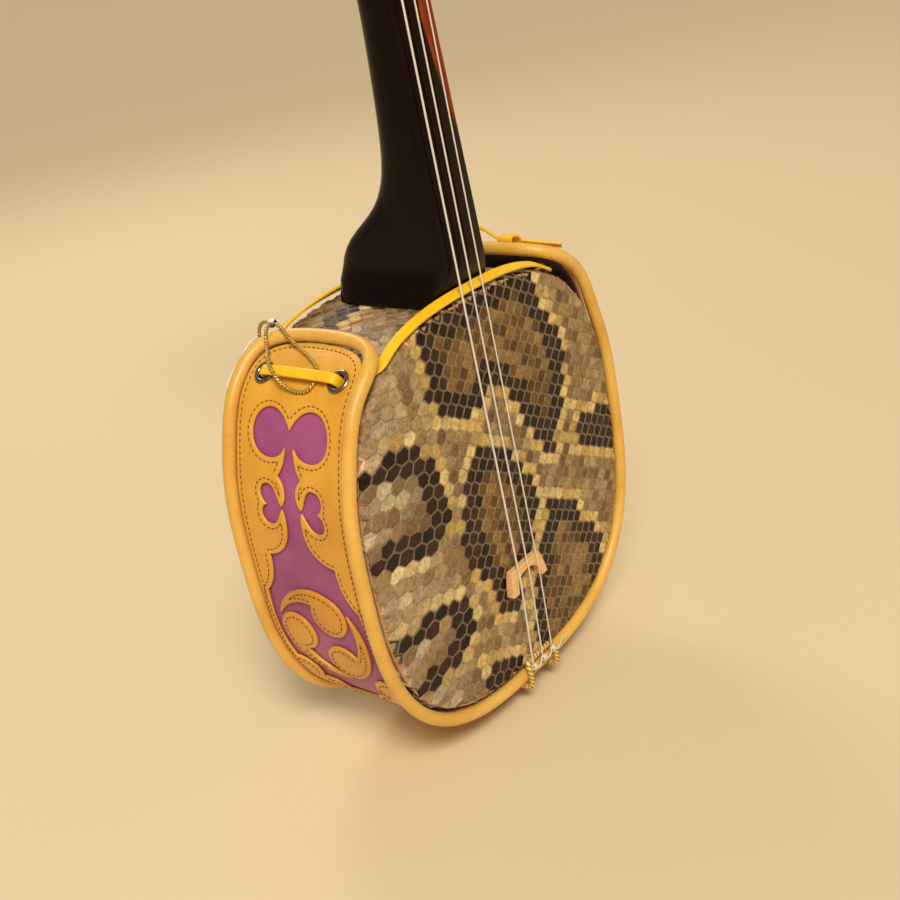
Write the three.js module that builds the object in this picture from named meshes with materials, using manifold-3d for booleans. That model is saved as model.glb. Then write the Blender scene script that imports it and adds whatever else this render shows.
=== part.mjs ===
// A three-stringed, snakeskin-covered long-neck lute of the Okinawan kind, standing upright.
// Millimetres. X to the right seen from the front, Y backwards, Z up along the neck.
// The origin is the flat end of the tail stub, under the drum.
import * as THREE from 'three';
import { mergeVertices } from 'three/addons/utils/BufferGeometryUtils.js';
import Module from 'manifold-3d';

const wasm = await Module();
wasm.setup();

// Driving dimensions
const drumWidth = 194;
const drumHeight = 194;
const drumDepth = 75;
const drumSquareness = 2.8; // exponent of the drum's outline: 2 is an ellipse, 4 is nearly square
const tailLength = 20; // tail stub below the drum
const neckLength = 426; // drum top to nut
const fingerboardLean = 0.0323; // how far the neck leans back for each millimetre up
const clearance = 0.3; // between pieces that touch
const skinThickness = 1.2;
const staveWall = 10;
const coreWidth = 18;
const coreDepth = 24;
const leather = 1.4; // face leather of the wrap
const liningLeather = 1;
const wrapGap = 59.6; // from the top centre to each rounded end of the wrap
const rollRadius = 3.2; // of the wrap's two rolled edges
const rollSpace = 0.4; // between the face leather and a roll
const eyeletInset = 17; // from the wrap's end
const eyeletRise = 1.2; // of the flange above the leather
const laceWidth = 4.8;
const laceThickness = 1.6;
const laceGap = 0.55; // between the lace and the skin
const eyeletHole = laceWidth / 2 + 0.7;
const tagCordRadius = 0.85;
const pegSpacing = 21;
const slotWidth = 10;
const slotStart = 12; // above the nut
const nutThickness = 3;
const nutRise = 2.4;
const nutSink = 0.35; // between the nut and the fingerboard's plane
const bridgeHeight = 12.5;
const bridgeFoot = 4.8; // thickness at the feet
const bridgeCrown = 3.6; // thickness at the crown
const bridgeFeetAbove = 45.5; // feet above the drum's lower edge
const nutSpacing = 7.25; // between strings at the nut
const bridgeSpacing = 7.8;
const tailSpacing = 8.5;
const stringRadii = [0.5, 0.42, 0.36];

// Sizes that follow from them
const drumCentre = tailLength + drumHeight / 2;
const drumTop = tailLength + drumHeight;
const skinFront = -drumDepth / 2;
const nutHeight = drumTop + neckLength;
const liningInner = 0.4;
const liningOuter = liningInner + liningLeather;
const faceInner = liningOuter + clearance;
const faceOuter = faceInner + leather;
const wrapWidth = drumDepth - 10.2; // between the two rolls
const eyeletSpacing = wrapWidth - 20.8;
const rollCentreY = wrapWidth / 2 + rollSpace + rollRadius;
const rollOffset = rollRadius + 0.5;
const firstPeg = slotStart + 24; // above the nut
const slotLength = 2 * pegSpacing + 36;
const slotEnd = slotStart + slotLength;
const fullTurn = Math.PI * 2;

// ---- solids and meshes -------------------------------------------------------------------

function toSolid(geometry) {
  const bare = geometry.clone();
  bare.deleteAttribute('normal');
  bare.deleteAttribute('uv');
  const merged = mergeVertices(bare, 1e-4);
  const vertProperties = new Float32Array(merged.attributes.position.array);
  const triVerts = new Uint32Array(merged.index.array);
  return new wasm.Manifold(new wasm.Mesh({ numProp: 3, vertProperties, triVerts }));
}

function toGeometry(solid) {
  const mesh = solid.getMesh();
  const geometry = new THREE.BufferGeometry();
  geometry.setAttribute('position', new THREE.BufferAttribute(mesh.vertProperties, 3));
  geometry.setIndex(new THREE.BufferAttribute(mesh.triVerts, 1));
  return geometry;
}

function signedVolume(points, triangles) {
  let sum = 0;
  for (const [a, b, c] of triangles) {
    sum += points[a].dot(new THREE.Vector3().crossVectors(points[b], points[c]));
  }
  return sum / 6;
}

function closedGeometry(points, triangles) {
  const outwards = signedVolume(points, triangles) > 0;
  const order = outwards ? triangles : triangles.map(([a, b, c]) => [a, c, b]);
  const geometry = new THREE.BufferGeometry().setFromPoints(points);
  geometry.setIndex(order.flat());
  return geometry;
}

// Skin over rings that all have the same number of points, with a flat cap at each end.
function loft(rings) {
  const count = rings[0].length;
  const triangles = [];
  for (let ring = 0; ring + 1 < rings.length; ring++) {
    for (let i = 0; i < count; i++) {
      const here = ring * count + i;
      const next = ring * count + ((i + 1) % count);
      triangles.push([here, next, here + count], [next, next + count, here + count]);
    }
  }
  const last = (rings.length - 1) * count;
  for (let i = 1; i + 1 < count; i++) {
    triangles.push([0, i + 1, i], [last, last + i, last + i + 1]);
  }
  return closedGeometry(rings.flat(), triangles);
}

function box(lowX, highX, lowY, highY, lowZ, highZ) {
  const geometry = new THREE.BoxGeometry(highX - lowX, highY - lowY, highZ - lowZ);
  geometry.translate((lowX + highX) / 2, (lowY + highY) / 2, (lowZ + highZ) / 2);
  return geometry;
}

// Extrudes a front view (x, z) between two depths.
function frontExtrude(points, lowY, highY) {
  const shape = new THREE.Shape(points);
  const geometry = new THREE.ExtrudeGeometry(shape, { depth: highY - lowY, bevelEnabled: false });
  geometry.rotateX(Math.PI / 2);
  geometry.translate(0, highY, 0);
  return geometry;
}

// A route through chosen points, so that a swept cord has one ring at each of them.
class Route extends THREE.Curve {
  constructor(points) {
    super();
    this.points = points;
  }
  getPoint(t) {
    const along = Math.min(Math.max(t, 0), 1) * (this.points.length - 1);
    const first = Math.min(Math.floor(along), this.points.length - 2);
    return this.points[first].clone().lerp(this.points[first + 1], along - first);
  }
  getPointAt(u) {
    return this.getPoint(u);
  }
  getTangentAt(u) {
    return this.getTangent(u);
  }
}

function cord(points, radius, sides = 8) {
  const section = new THREE.Shape();
  for (let i = 0; i < sides; i++) {
    const angle = (i / sides) * fullTurn;
    const x = radius * Math.cos(angle);
    const y = radius * Math.sin(angle);
    if (i === 0) section.moveTo(x, y);
    else section.lineTo(x, y);
  }
  return new THREE.ExtrudeGeometry(section, { steps: points.length - 1, extrudePath: new Route(points) });
}

// ---- the drum's outline, measured along the wrap -----------------------------------------

function outlineAt(angle) {
  const power = 2 / drumSquareness;
  const sine = Math.sin(angle);
  const cosine = Math.cos(angle);
  const x = -(drumWidth / 2) * Math.sign(sine) * Math.abs(sine) ** power;
  const z = -(drumHeight / 2) * Math.sign(cosine) * Math.abs(cosine) ** power;
  const normalX = -Math.sign(sine) * Math.abs(sine) ** (2 - power) / drumWidth;
  const normalZ = -Math.sign(cosine) * Math.abs(cosine) ** (2 - power) / drumHeight;
  const length = Math.hypot(normalX, normalZ);
  return { x, z, nx: normalX / length, nz: normalZ / length };
}

const reachTable = [];
const reachSteps = 1440;
for (let i = 0; i <= reachSteps; i++) {
  const angle = (i / reachSteps) * Math.PI;
  const at = outlineAt(angle);
  const point = new THREE.Vector2(at.x + at.nx * faceOuter, at.z + at.nz * faceOuter);
  const before = reachTable[i - 1];
  const reach = before ? before.reach + point.distanceTo(before.point) : 0;
  reachTable.push({ angle, point, reach });
}
const halfRound = reachTable[reachSteps].reach;
const wrapReach = halfRound - wrapGap; // from the bottom centre to each rounded end, along the leather
const eyeletReach = wrapReach - eyeletInset;

function angleAtReach(reach) {
  const wanted = Math.abs(reach);
  let low = 0;
  let high = reachSteps;
  while (high - low > 1) {
    const middle = (low + high) >> 1;
    if (reachTable[middle].reach > wanted) high = middle;
    else low = middle;
  }
  const span = reachTable[high].reach - reachTable[low].reach;
  const part = (wanted - reachTable[low].reach) / span;
  const angle = reachTable[low].angle + part * (reachTable[high].angle - reachTable[low].angle);
  return reach < 0 ? -angle : angle;
}

// The wrap's ends stand a little off the drum, the right one more than the left.
function lift(reach) {
  const start = wrapReach - 55;
  const full = wrapReach - 21;
  const part = THREE.MathUtils.smoothstep(Math.abs(reach), start, full);
  return part * (reach > 0 ? 3.2 : 5.5);
}

// A point on the drum's side: reach from the bottom centre (positive on the -X side), depth y,
// and distance outwards from the skin.
function drumPoint(reach, y, offset) {
  const at = outlineAt(angleAtReach(reach));
  return new THREE.Vector3(at.x + at.nx * offset, y, drumCentre + at.z + at.nz * offset);
}

function drumNormal(reach) {
  const at = outlineAt(angleAtReach(reach));
  return new THREE.Vector3(at.nx, 0, at.nz);
}

function wrapPoint(reach, y, offset) {
  return drumPoint(reach, y, offset + lift(reach));
}

function drumOutline(offset, count = 48) {
  const points = [];
  for (let i = 0; i < count; i++) {
    const at = drumPoint(((i / count) * 2 - 1) * halfRound, 0, offset);
    points.push(new THREE.Vector2(at.x, at.z));
  }
  return points;
}

// ---- drum --------------------------------------------------------------------------------

function makeStave(turns) {
  const outer = -skinThickness - clearance;
  const halfDepth = drumDepth / 2 - skinThickness - clearance;
  const ring = toSolid(frontExtrude(drumOutline(outer), -halfDepth, halfDepth)).subtract(
    toSolid(frontExtrude(drumOutline(outer - staveWall), -drumDepth, drumDepth)),
  );
  const far = drumHeight;
  const wedge = [new THREE.Vector2(0, 0), new THREE.Vector2(far, far), new THREE.Vector2(-far, far)];
  const centre = new THREE.Vector2(0, 0);
  const turned = wedge.map((point) => point.clone().rotateAround(centre, (turns * Math.PI) / 2));
  const outwards = new THREE.Vector2(0, clearance).rotateAround(centre, (turns * Math.PI) / 2);
  const up = outwards.y + drumCentre;
  const placed = turned.map((point) => new THREE.Vector2(point.x + outwards.x, point.y + up));
  const stave = ring.intersect(toSolid(frontExtrude(placed, -drumDepth, drumDepth)));
  return toGeometry(stave.subtract(coreHole()));
}

function coreHole() {
  const halfWidth = coreWidth / 2 + clearance;
  const halfDepth = coreDepth / 2 + clearance;
  return toSolid(box(-halfWidth, halfWidth, -halfDepth, halfDepth, -tailLength, drumTop + tailLength));
}

// A python skin: a face over one side of the drum and a skirt that reaches the middle of its depth.
function makeSkin(side) {
  const edge = (side * drumDepth) / 2;
  const middle = side * 2 * clearance;
  const inside = edge - side * skinThickness;
  const hollow = drumOutline(-skinThickness);
  const outer = frontExtrude(drumOutline(0), Math.min(edge, middle), Math.max(edge, middle));
  const inner = frontExtrude(hollow, Math.min(inside, -middle), Math.max(inside, -middle));
  return toGeometry(toSolid(outer).subtract(toSolid(inner)).subtract(coreHole()));
}

// ---- neck --------------------------------------------------------------------------------

function fingerboardY(z) {
  const atDrum = skinFront + 1.5;
  return atDrum + (z - drumTop) * fingerboardLean;
}

// One level of the neck: a flat front, straight sides, and a back that is rounder where square is low.
function neckRing(z, halfWidth, front, back, square) {
  const points = [];
  const chamfer = 1.2;
  const straight = 0.3 * (back - front);
  const shoulder = front + straight;
  points.push(new THREE.Vector3(halfWidth, front + chamfer, z));
  const steps = 14;
  for (let i = 0; i <= steps; i++) {
    const angle = (i / steps) * Math.PI;
    const cosine = Math.cos(angle);
    const x = halfWidth * Math.sign(cosine) * Math.abs(cosine) ** (2 / square);
    const y = shoulder + (back - shoulder) * Math.sin(angle) ** (2 / square);
    points.push(new THREE.Vector3(x, y, z));
  }
  points.push(new THREE.Vector3(-halfWidth, front + chamfer, z));
  points.push(new THREE.Vector3(-halfWidth + chamfer, front, z));
  points.push(new THREE.Vector3(halfWidth - chamfer, front, z));
  return points;
}

// Levels of the neck above the drum: height, half width, how far the front stands behind the
// fingerboard's plane, thickness, squareness of the back.
function heelLevels() {
  const heelWidth = 21.5;
  const heelDepth = 61;
  return [
    [0, heelWidth, 5, heelDepth, 5],
    [4, heelWidth - 1.8, 4.1, heelDepth + 0.5, 5],
    [9, 18.2, 1.6, 64, 4.8],
    [16, 16.7, 0, 63, 4.4],
    [24, 16.4, 0, 58.5, 4],
    [31, 16.3, 0, 51, 3.6],
    [38, 16.1, 0, 42, 3.2],
    [46, 15.9, 0, 34.5, 2.9],
    [56, 15.6, 0, 29.4, 2.7],
    [68, 15.3, 0, 26.6, 2.6],
    [90, 14.8, 0, 24.2, 2.5],
    [125, 13.9, 0, 22.4, 2.4],
    [250, 13, 0, 20.6, 2.4],
    [neckLength - 4, 11.9, 0, 19.4, 2.4],
  ];
}

const headStraight = 24; // the peg box is straight from here up
const headSlope = 0.1364; // and leans back by this much more than the fingerboard
const headBack = 2.2; // its front there, behind the fingerboard's plane

// Levels of the head above the nut: height, half width, front Y behind the fingerboard's plane,
// thickness, squareness.
function headLevels() {
  return [
    [4, 12.1, 0.3, 20, 2.6],
    [14, 13.6, 1.2, 23.5, 3.2],
    [headStraight, 14.4, headBack, 25.5, 3.6],
    [slotEnd, 15, headBack + (slotEnd - headStraight) * headSlope, 25, 3.6],
    [slotEnd + 14, 16.6, 14.6, 21.5, 3.4],
    [slotEnd + 28, 19.6, 20, 18, 3.2],
    [slotEnd + 42, 21.6, 26.4, 15.5, 3],
    [slotEnd + 52, 21, 31.2, 13.6, 3],
    [slotEnd + 58, 18, 34, 12, 3],
    [slotEnd + 62, 13, 36, 10.6, 3],
    [slotEnd + 64, 8, 37, 9.6, 3],
  ];
}

function pegHeight(index) {
  return nutHeight + firstPeg + index * pegSpacing;
}

function headFront(z) {
  return fingerboardY(z) + headBack + (z - nutHeight - headStraight) * headSlope;
}

function pegY(index) {
  const halfHead = 12.6;
  return headFront(pegHeight(index)) + halfHead;
}

const pegThick = 5.2;
const pegThin = 4;
const pegSides = 24;
const pegClearance = 0.1;

function pegSide(index) {
  return index === 1 ? 1 : -1;
}

// The tapered part of a peg, from the handle's side of the head to just past the far side.
function pegTaper(extra) {
  const start = 18;
  const end = -16.5;
  const profile = [
    new THREE.Vector2(0, end - extra),
    new THREE.Vector2(pegThin + extra, end - extra),
    new THREE.Vector2(pegThick + extra, start + extra),
    new THREE.Vector2(0, start + extra),
  ];
  return new THREE.LatheGeometry(profile, pegSides);
}

function placePeg(geometry, index) {
  geometry.rotateZ(-pegSide(index) * (Math.PI / 2));
  geometry.translate(0, pegY(index), pegHeight(index));
  return geometry;
}

function makeNeck() {
  const rings = [];
  for (const [up, halfWidth, back, thickness, square] of heelLevels()) {
    const z = drumTop + Math.max(up, clearance);
    const front = fingerboardY(z) + back;
    rings.push(neckRing(z, halfWidth, front, front + thickness, square));
  }
  for (const [up, halfWidth, back, thickness, square] of headLevels()) {
    const z = nutHeight + up;
    const front = fingerboardY(z) + back;
    rings.push(neckRing(z, halfWidth, front, front + thickness, square));
  }
  const core = box(-coreWidth / 2, coreWidth / 2, -coreDepth / 2, coreDepth / 2, 0, drumTop + 2);
  const slotLow = nutHeight + slotStart;
  const slot = box(-slotWidth / 2, slotWidth / 2, -drumDepth, drumDepth, slotLow, slotLow + slotLength);
  let neck = toSolid(loft(rings)).add(toSolid(core)).subtract(toSolid(slot));
  for (let index = 0; index < 3; index++) {
    neck = neck.subtract(toSolid(placePeg(pegTaper(pegClearance), index)));
  }
  return toGeometry(neck);
}

function makeNut() {
  const sit = fingerboardY(nutHeight + nutThickness / 2) - nutSink;
  const halfWidth = 11.6;
  const rings = [];
  for (const x of [-halfWidth, halfWidth]) {
    const ring = [];
    ring.push(new THREE.Vector3(x, sit, nutHeight - nutThickness / 2));
    for (let i = 0; i <= 6; i++) {
      const angle = Math.PI + (i / 6) * Math.PI;
      const z = nutHeight + (Math.cos(angle) * nutThickness) / 2;
      const y = sit - nutRise / 2 + (Math.sin(angle) * nutRise) / 2;
      ring.push(new THREE.Vector3(x, y, z));
    }
    ring.push(new THREE.Vector3(x, sit, nutHeight + nutThickness / 2));
    rings.push(ring);
  }
  return loft(rings);
}

// ---- pegs --------------------------------------------------------------------------------

// A peg: the taper that turns in the head and a fluted handle that flares to its end.
function makePeg(index) {
  const flutes = 8;
  const around = 16;
  const start = 17.5;
  const levels = [
    [start, 4.9, 0],
    [start + 8, 6.8, 0.06],
    [start + 22, 8, 0.1],
    [start + 40, 10.4, 0.13],
    [start + 54, 12.6, 0.14],
    [start + 60, 12.8, 0.12],
    [start + 63.5, 10.6, 0.08],
  ];
  const rings = levels.map(([along, radius, depth]) => {
    const ring = [];
    for (let i = 0; i < around; i++) {
      const angle = (i / around) * fullTurn;
      const wave = radius * (1 - depth * (0.5 - 0.5 * Math.cos(angle * flutes)));
      ring.push(new THREE.Vector3(wave * Math.cos(angle), along, wave * Math.sin(angle)));
    }
    return ring;
  });
  const peg = toSolid(pegTaper(0)).add(toSolid(loft(rings)));
  return placePeg(toGeometry(peg), index);
}

const windingRadius = 6.2;

function makeWinding(index) {
  const half = 2.6;
  const bore = 4.95;
  const profile = [
    new THREE.Vector2(bore, -half),
    new THREE.Vector2(windingRadius - 0.5, -half),
    new THREE.Vector2(windingRadius, -half / 2),
    new THREE.Vector2(windingRadius, half / 2),
    new THREE.Vector2(windingRadius - 0.5, half),
    new THREE.Vector2(bore, half),
    new THREE.Vector2(bore, -half),
  ];
  return placePeg(new THREE.LatheGeometry(profile, 16), index);
}

// ---- bridge and strings ------------------------------------------------------------------

const bridgeFeet = tailLength + bridgeFeetAbove;
const bridgeBack = skinFront - clearance;

// The bridge lies on its back on the skin, its feet towards the tail and its crown up the neck.
function makeBridge() {
  const shape = new THREE.Shape();
  shape.moveTo(-14.2, 0);
  shape.quadraticCurveTo(-13.4, 8, -11.2, bridgeHeight);
  shape.lineTo(11.2, bridgeHeight);
  shape.quadraticCurveTo(13.4, 8, 14.2, 0);
  shape.lineTo(9.6, 0);
  shape.bezierCurveTo(9.2, 5, 7.2, 8.6, 0, 8.8);
  shape.bezierCurveTo(-7.2, 8.6, -9.2, 5, -9.6, 0);
  const geometry = new THREE.ExtrudeGeometry(shape, { depth: 1, bevelEnabled: false, curveSegments: 6 });
  const place = geometry.attributes.position;
  for (let i = 0; i < place.count; i++) {
    const up = place.getY(i);
    const thickness = THREE.MathUtils.lerp(bridgeFoot, bridgeCrown, up / bridgeHeight);
    place.setXYZ(i, place.getX(i), bridgeBack - place.getZ(i) * thickness, bridgeFeet + up);
  }
  return geometry;
}

function stringPoints(index) {
  const side = index - 1;
  const radius = stringRadii[index];
  const gap = radius + clearance;
  const crown = bridgeFeet + bridgeHeight;
  const overCrown = bridgeBack - bridgeCrown - gap;
  const overNut = fingerboardY(nutHeight) - nutSink - nutRise - gap;
  const tail = new THREE.Vector3(side * tailSpacing, hangerBarY - hangerRadius - gap, hangerBarZ);
  const bridgeLow = new THREE.Vector3(side * bridgeSpacing, overCrown - 0.5, crown - 5);
  const bridgeHigh = new THREE.Vector3(side * bridgeSpacing, overCrown, crown);
  const nutLow = new THREE.Vector3(side * nutSpacing, overNut, nutHeight - 1);
  const nutHigh = new THREE.Vector3(side * nutSpacing, overNut, nutHeight + nutThickness / 2);
  const windingFront = pegY(index) - windingRadius - gap;
  const entry = slotStart + 4;
  const entryZ = nutHeight + entry;
  const intoSlot = new THREE.Vector3(side * 3.6, fingerboardY(entryZ) + 0.6 - gap, entryZ);
  const end = new THREE.Vector3(side * 2.2, windingFront, pegHeight(index) - 1);
  return [tail, bridgeLow, bridgeHigh, nutLow, nutHigh, intoSlot, end];
}

function makeString(index) {
  return cord(stringPoints(index), stringRadii[index]);
}

// ---- string hanger -----------------------------------------------------------------------

const hangerRadius = 1.5;
const hangerBarZ = tailLength + 4.5;
const hangerBarY = skinFront - hangerRadius - 0.5;

// A cord looped behind the tail stub and drawn up over the wrap's front edge.
function makeHanger() {
  const side = coreWidth / 2 + hangerRadius + clearance;
  const behind = coreDepth / 2 + hangerRadius + clearance;
  const under = tailLength - rollOffset - rollRadius - hangerRadius - 0.6;
  const ahead = -(rollCentreY + rollRadius + hangerRadius + 0.6);
  const leg = (sign) => [
    new THREE.Vector3(sign * 0.6, behind, under - 4),
    new THREE.Vector3(sign * (side - 0.7), behind, under - 4),
    new THREE.Vector3(sign * side, behind - 0.7, under - 4),
    new THREE.Vector3(sign * side, 0, under - 3),
    new THREE.Vector3(sign * side, -coreDepth / 2, under - 2),
    new THREE.Vector3(sign * (side + 0.4), ahead + 6, under),
    new THREE.Vector3(sign * (side + 0.4), ahead + 1.4, under + 0.8),
    new THREE.Vector3(sign * (side + 0.3), ahead, under + 3.2),
    new THREE.Vector3(sign * (side + 0.2), ahead, hangerBarZ - 4.4),
    new THREE.Vector3(sign * (side - 0.6), hangerBarY - 0.5, hangerBarZ - 1),
    new THREE.Vector3(sign * (side - 3), hangerBarY, hangerBarZ),
  ];
  return cord([...leg(-1), ...leg(1).reverse()], hangerRadius);
}

function makeKnot(index) {
  const tail = stringPoints(index)[0];
  const size = 1.5;
  const knot = new THREE.SphereGeometry(size, 8, 6);
  knot.scale(1, 0.8, 1);
  knot.translate(tail.x, tail.y - 0.9, tail.z - size - 2 * clearance);
  return knot;
}

// ---- leather wrap ------------------------------------------------------------------------

// A strip of leather around the drum, between two distances from the skin.
function strip(inner, outer) {
  const steps = 52;
  const outside = [];
  const inside = [];
  for (let i = 0; i <= steps; i++) {
    const reach = ((i / steps) * 2 - 1) * wrapReach;
    const far = wrapPoint(reach, 0, outer);
    const near = wrapPoint(reach, 0, inner);
    outside.push(new THREE.Vector2(far.x, far.z));
    inside.unshift(new THREE.Vector2(near.x, near.z));
  }
  return toSolid(frontExtrude([...outside, ...inside], -wrapWidth / 2, wrapWidth / 2));
}

// Takes a flat pattern (across, reach) and bends it round the drum in short slices.
function bend(points, mirrored) {
  const shape = new THREE.Shape(points);
  const low = -3;
  const high = 9;
  const flat = new THREE.ExtrudeGeometry(shape, { depth: high - low, bevelEnabled: false });
  flat.translate(0, 0, low);
  const whole = toSolid(flat);
  flat.computeBoundingBox();
  const slice = 17;
  const overlap = 0.04;
  let bent = null;
  for (let from = flat.boundingBox.min.y; from < flat.boundingBox.max.y; from += slice) {
    const slab = box(-drumDepth, drumDepth, from - overlap, from + slice + overlap, low - 1, high + 1);
    const piece = whole.intersect(toSolid(slab));
    if (piece.isEmpty()) continue;
    const geometry = toGeometry(piece);
    const place = geometry.attributes.position;
    for (let i = 0; i < place.count; i++) {
      const reach = mirrored ? -place.getY(i) : place.getY(i);
      const at = wrapPoint(reach, -place.getX(i), place.getZ(i));
      place.setXYZ(i, at.x, at.y, at.z);
    }
    if (mirrored) {
      const index = geometry.index.array;
      for (let i = 0; i < index.length; i += 3) {
        [index[i], index[i + 1]] = [index[i + 1], index[i]];
      }
    }
    const solid = toSolid(geometry);
    bent = bent ? bent.add(solid) : solid;
  }
  return bent;
}

const whirlCentre = 0.491 * wrapReach;
const whirlRadius = 26;

// Half of the cut-out: two round lobes, a stem with curls and a heart, a flared skirt round the
// whirl, and scallops towards the bottom of the drum. It is drawn for ends 282 mm from the bottom.
function panelHalf() {
  const half = new THREE.Path();
  half.moveTo(0, 238);
  half.bezierCurveTo(2.5, 243, 7, 247, 12, 247);
  half.bezierCurveTo(19, 247, 22.5, 241, 22.5, 235.5);
  half.bezierCurveTo(22.5, 229, 18, 225, 12.5, 225);
  half.bezierCurveTo(8, 225, 4.5, 226.5, 2.6, 230.5);
  half.quadraticCurveTo(2.8, 222, 7, 217);
  half.quadraticCurveTo(3.2, 214, 3.6, 208);
  half.quadraticCurveTo(3.9, 205, 6, 203);
  half.bezierCurveTo(8.5, 206, 8.5, 213, 13.5, 213);
  half.bezierCurveTo(19, 213, 20.5, 206, 15.5, 202.8);
  half.bezierCurveTo(21, 200.5, 19.5, 193.5, 14.5, 193.5);
  half.bezierCurveTo(9.5, 193.5, 8.5, 199, 6, 201.6);
  half.quadraticCurveTo(4.6, 199, 5, 193);
  half.bezierCurveTo(5.5, 185, 10, 178.5, 20, 177);
  half.bezierCurveTo(19.8, 168, 22.5, 160, 28, 156);
  half.quadraticCurveTo(31, 135, 28, 114);
  half.bezierCurveTo(17.5, 115, 15.5, 104, 21, 97.5);
  half.bezierCurveTo(10, 100, 9, 90, 13, 84);
  half.quadraticCurveTo(6, 82, 0, 74);
  const scale = wrapReach / 282;
  return half.getPoints(3).map((point) => new THREE.Vector2(point.x, whirlCentre + (point.y - 135) * scale));
}

function panelOutline() {
  const right = panelHalf();
  const left = right
    .slice(1, -1)
    .reverse()
    .map((point) => new THREE.Vector2(-point.x, point.y));
  return [...right, ...left];
}

// One of the three commas of the whirl: a round head and a tail that runs round the rim.
function commaOutline(index) {
  const head = 0.4 * whirlRadius;
  const headAt = 0.6 * whirlRadius;
  const start = THREE.MathUtils.degToRad(60 + 120 * index);
  const sweep = THREE.MathUtils.degToRad(102);
  const join = THREE.MathUtils.degToRad(95);
  const joinX = headAt + head * Math.cos(join);
  const joinY = head * Math.sin(join);
  const joinTurn = Math.atan2(joinY, joinX);
  const joinRadius = Math.hypot(joinX, joinY);
  const points = [];
  const add = (radius, turn) => {
    points.push(new THREE.Vector2(radius * Math.cos(turn), radius * Math.sin(turn)));
  };
  for (let i = 0; i <= 7; i++) add(whirlRadius, start + (i / 7) * sweep);
  for (let i = 1; i < 5; i++) {
    const back = i / 5;
    const radius = whirlRadius - (whirlRadius - joinRadius) * back ** 0.75;
    add(radius, start + sweep + back * (joinTurn - sweep));
  }
  for (let i = 0; i < 10; i++) {
    const turn = join + (i / 10) * (fullTurn - join);
    const x = headAt + head * Math.cos(turn);
    const y = head * Math.sin(turn);
    add(Math.hypot(x, y), start + Math.atan2(y, x));
  }
  return points.map((point) => new THREE.Vector2(point.x, point.y + whirlCentre));
}

// Half of the edge of a rounded end, a margin outside the face leather.
function endHalf(margin) {
  const half = wrapWidth / 2 + margin;
  const top = wrapReach + margin;
  const path = new THREE.Path();
  path.moveTo(half, top - 20);
  path.bezierCurveTo(half, top - 5, half * 0.72, top, 0, top);
  return path.getPoints(6);
}

// What a rounded end leaves out of a square one.
function endOffcut() {
  const right = endHalf(0);
  const left = right
    .slice(0, -1)
    .reverse()
    .map((point) => new THREE.Vector2(-point.x, point.y));
  const far = wrapReach + 8;
  const wide = wrapWidth / 2 + 6;
  const low = right[0].y;
  return [
    ...right,
    ...left,
    new THREE.Vector2(-wide, low),
    new THREE.Vector2(-wide, far),
    new THREE.Vector2(wide, far),
    new THREE.Vector2(wide, low),
  ];
}

function eyeletPlaces() {
  const places = [];
  for (const reach of [eyeletReach, -eyeletReach]) {
    for (const y of [-eyeletSpacing / 2, eyeletSpacing / 2]) places.push({ reach, y });
  }
  return places;
}

// Turns a shape made along +Y to stand on the wrap.
function standOnWrap(geometry, reach, y, offset) {
  const turn = new THREE.Quaternion().setFromUnitVectors(new THREE.Vector3(0, 1, 0), drumNormal(reach));
  const at = wrapPoint(reach, y, offset);
  geometry.applyQuaternion(turn);
  geometry.translate(at.x, at.y, at.z);
  return geometry;
}

const barrelRadius = eyeletHole + 0.5;

function cutWrap(solid) {
  let cut = solid.subtract(coreHole());
  for (const mirrored of [false, true]) cut = cut.subtract(bend(endOffcut(), mirrored));
  for (const { reach, y } of eyeletPlaces()) {
    const drill = new THREE.CylinderGeometry(barrelRadius + clearance, barrelRadius + clearance, 16, 12);
    cut = cut.subtract(toSolid(standOnWrap(drill, reach, y, 0)));
  }
  return cut;
}

function makeLining() {
  return toGeometry(cutWrap(strip(liningInner, liningOuter)));
}

function makeFace() {
  let face = cutWrap(strip(faceInner, faceOuter));
  for (const mirrored of [false, true]) face = face.subtract(bend(panelOutline(), mirrored));
  return toGeometry(face);
}

function makeComma(index, mirrored) {
  return toGeometry(strip(faceInner, faceOuter).intersect(bend(commaOutline(index), mirrored)));
}

// A rolled edge, round half of the wrap: along one long side and half of each end.
function makeRoll(side) {
  const edge = rollRadius + rollSpace;
  const tip = endHalf(edge).reverse();
  tip[0].x = clearance + 0.3;
  const along = [];
  const steps = 30;
  const straight = tip[tip.length - 1].y;
  for (let i = 1; i < steps; i++) {
    along.push(new THREE.Vector2(wrapWidth / 2 + edge, straight * (1 - (2 * i) / steps)));
  }
  const far = tip.map((point) => new THREE.Vector2(point.x, -point.y)).reverse();
  const route = [...tip, ...along, ...far];
  return cord(
    route.map((point) => wrapPoint(point.y, side * point.x, rollOffset)),
    rollRadius,
  );
}

function makeEyelet({ reach, y }) {
  const flange = eyeletHole + 2.3;
  const rise = 0.5;
  const thickness = eyeletRise - rise;
  const below = -(leather + liningLeather + clearance);
  const profile = [
    new THREE.Vector2(eyeletHole, below),
    new THREE.Vector2(barrelRadius, below),
    new THREE.Vector2(barrelRadius, rise),
    new THREE.Vector2(flange, rise),
    new THREE.Vector2(flange - 0.5, rise + thickness),
    new THREE.Vector2(eyeletHole + 0.3, rise + thickness),
    new THREE.Vector2(eyeletHole, rise + thickness / 2),
    new THREE.Vector2(eyeletHole, below),
  ];
  return standOnWrap(new THREE.LatheGeometry(profile, 12), reach, y, faceOuter);
}

// ---- lace --------------------------------------------------------------------------------

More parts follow.
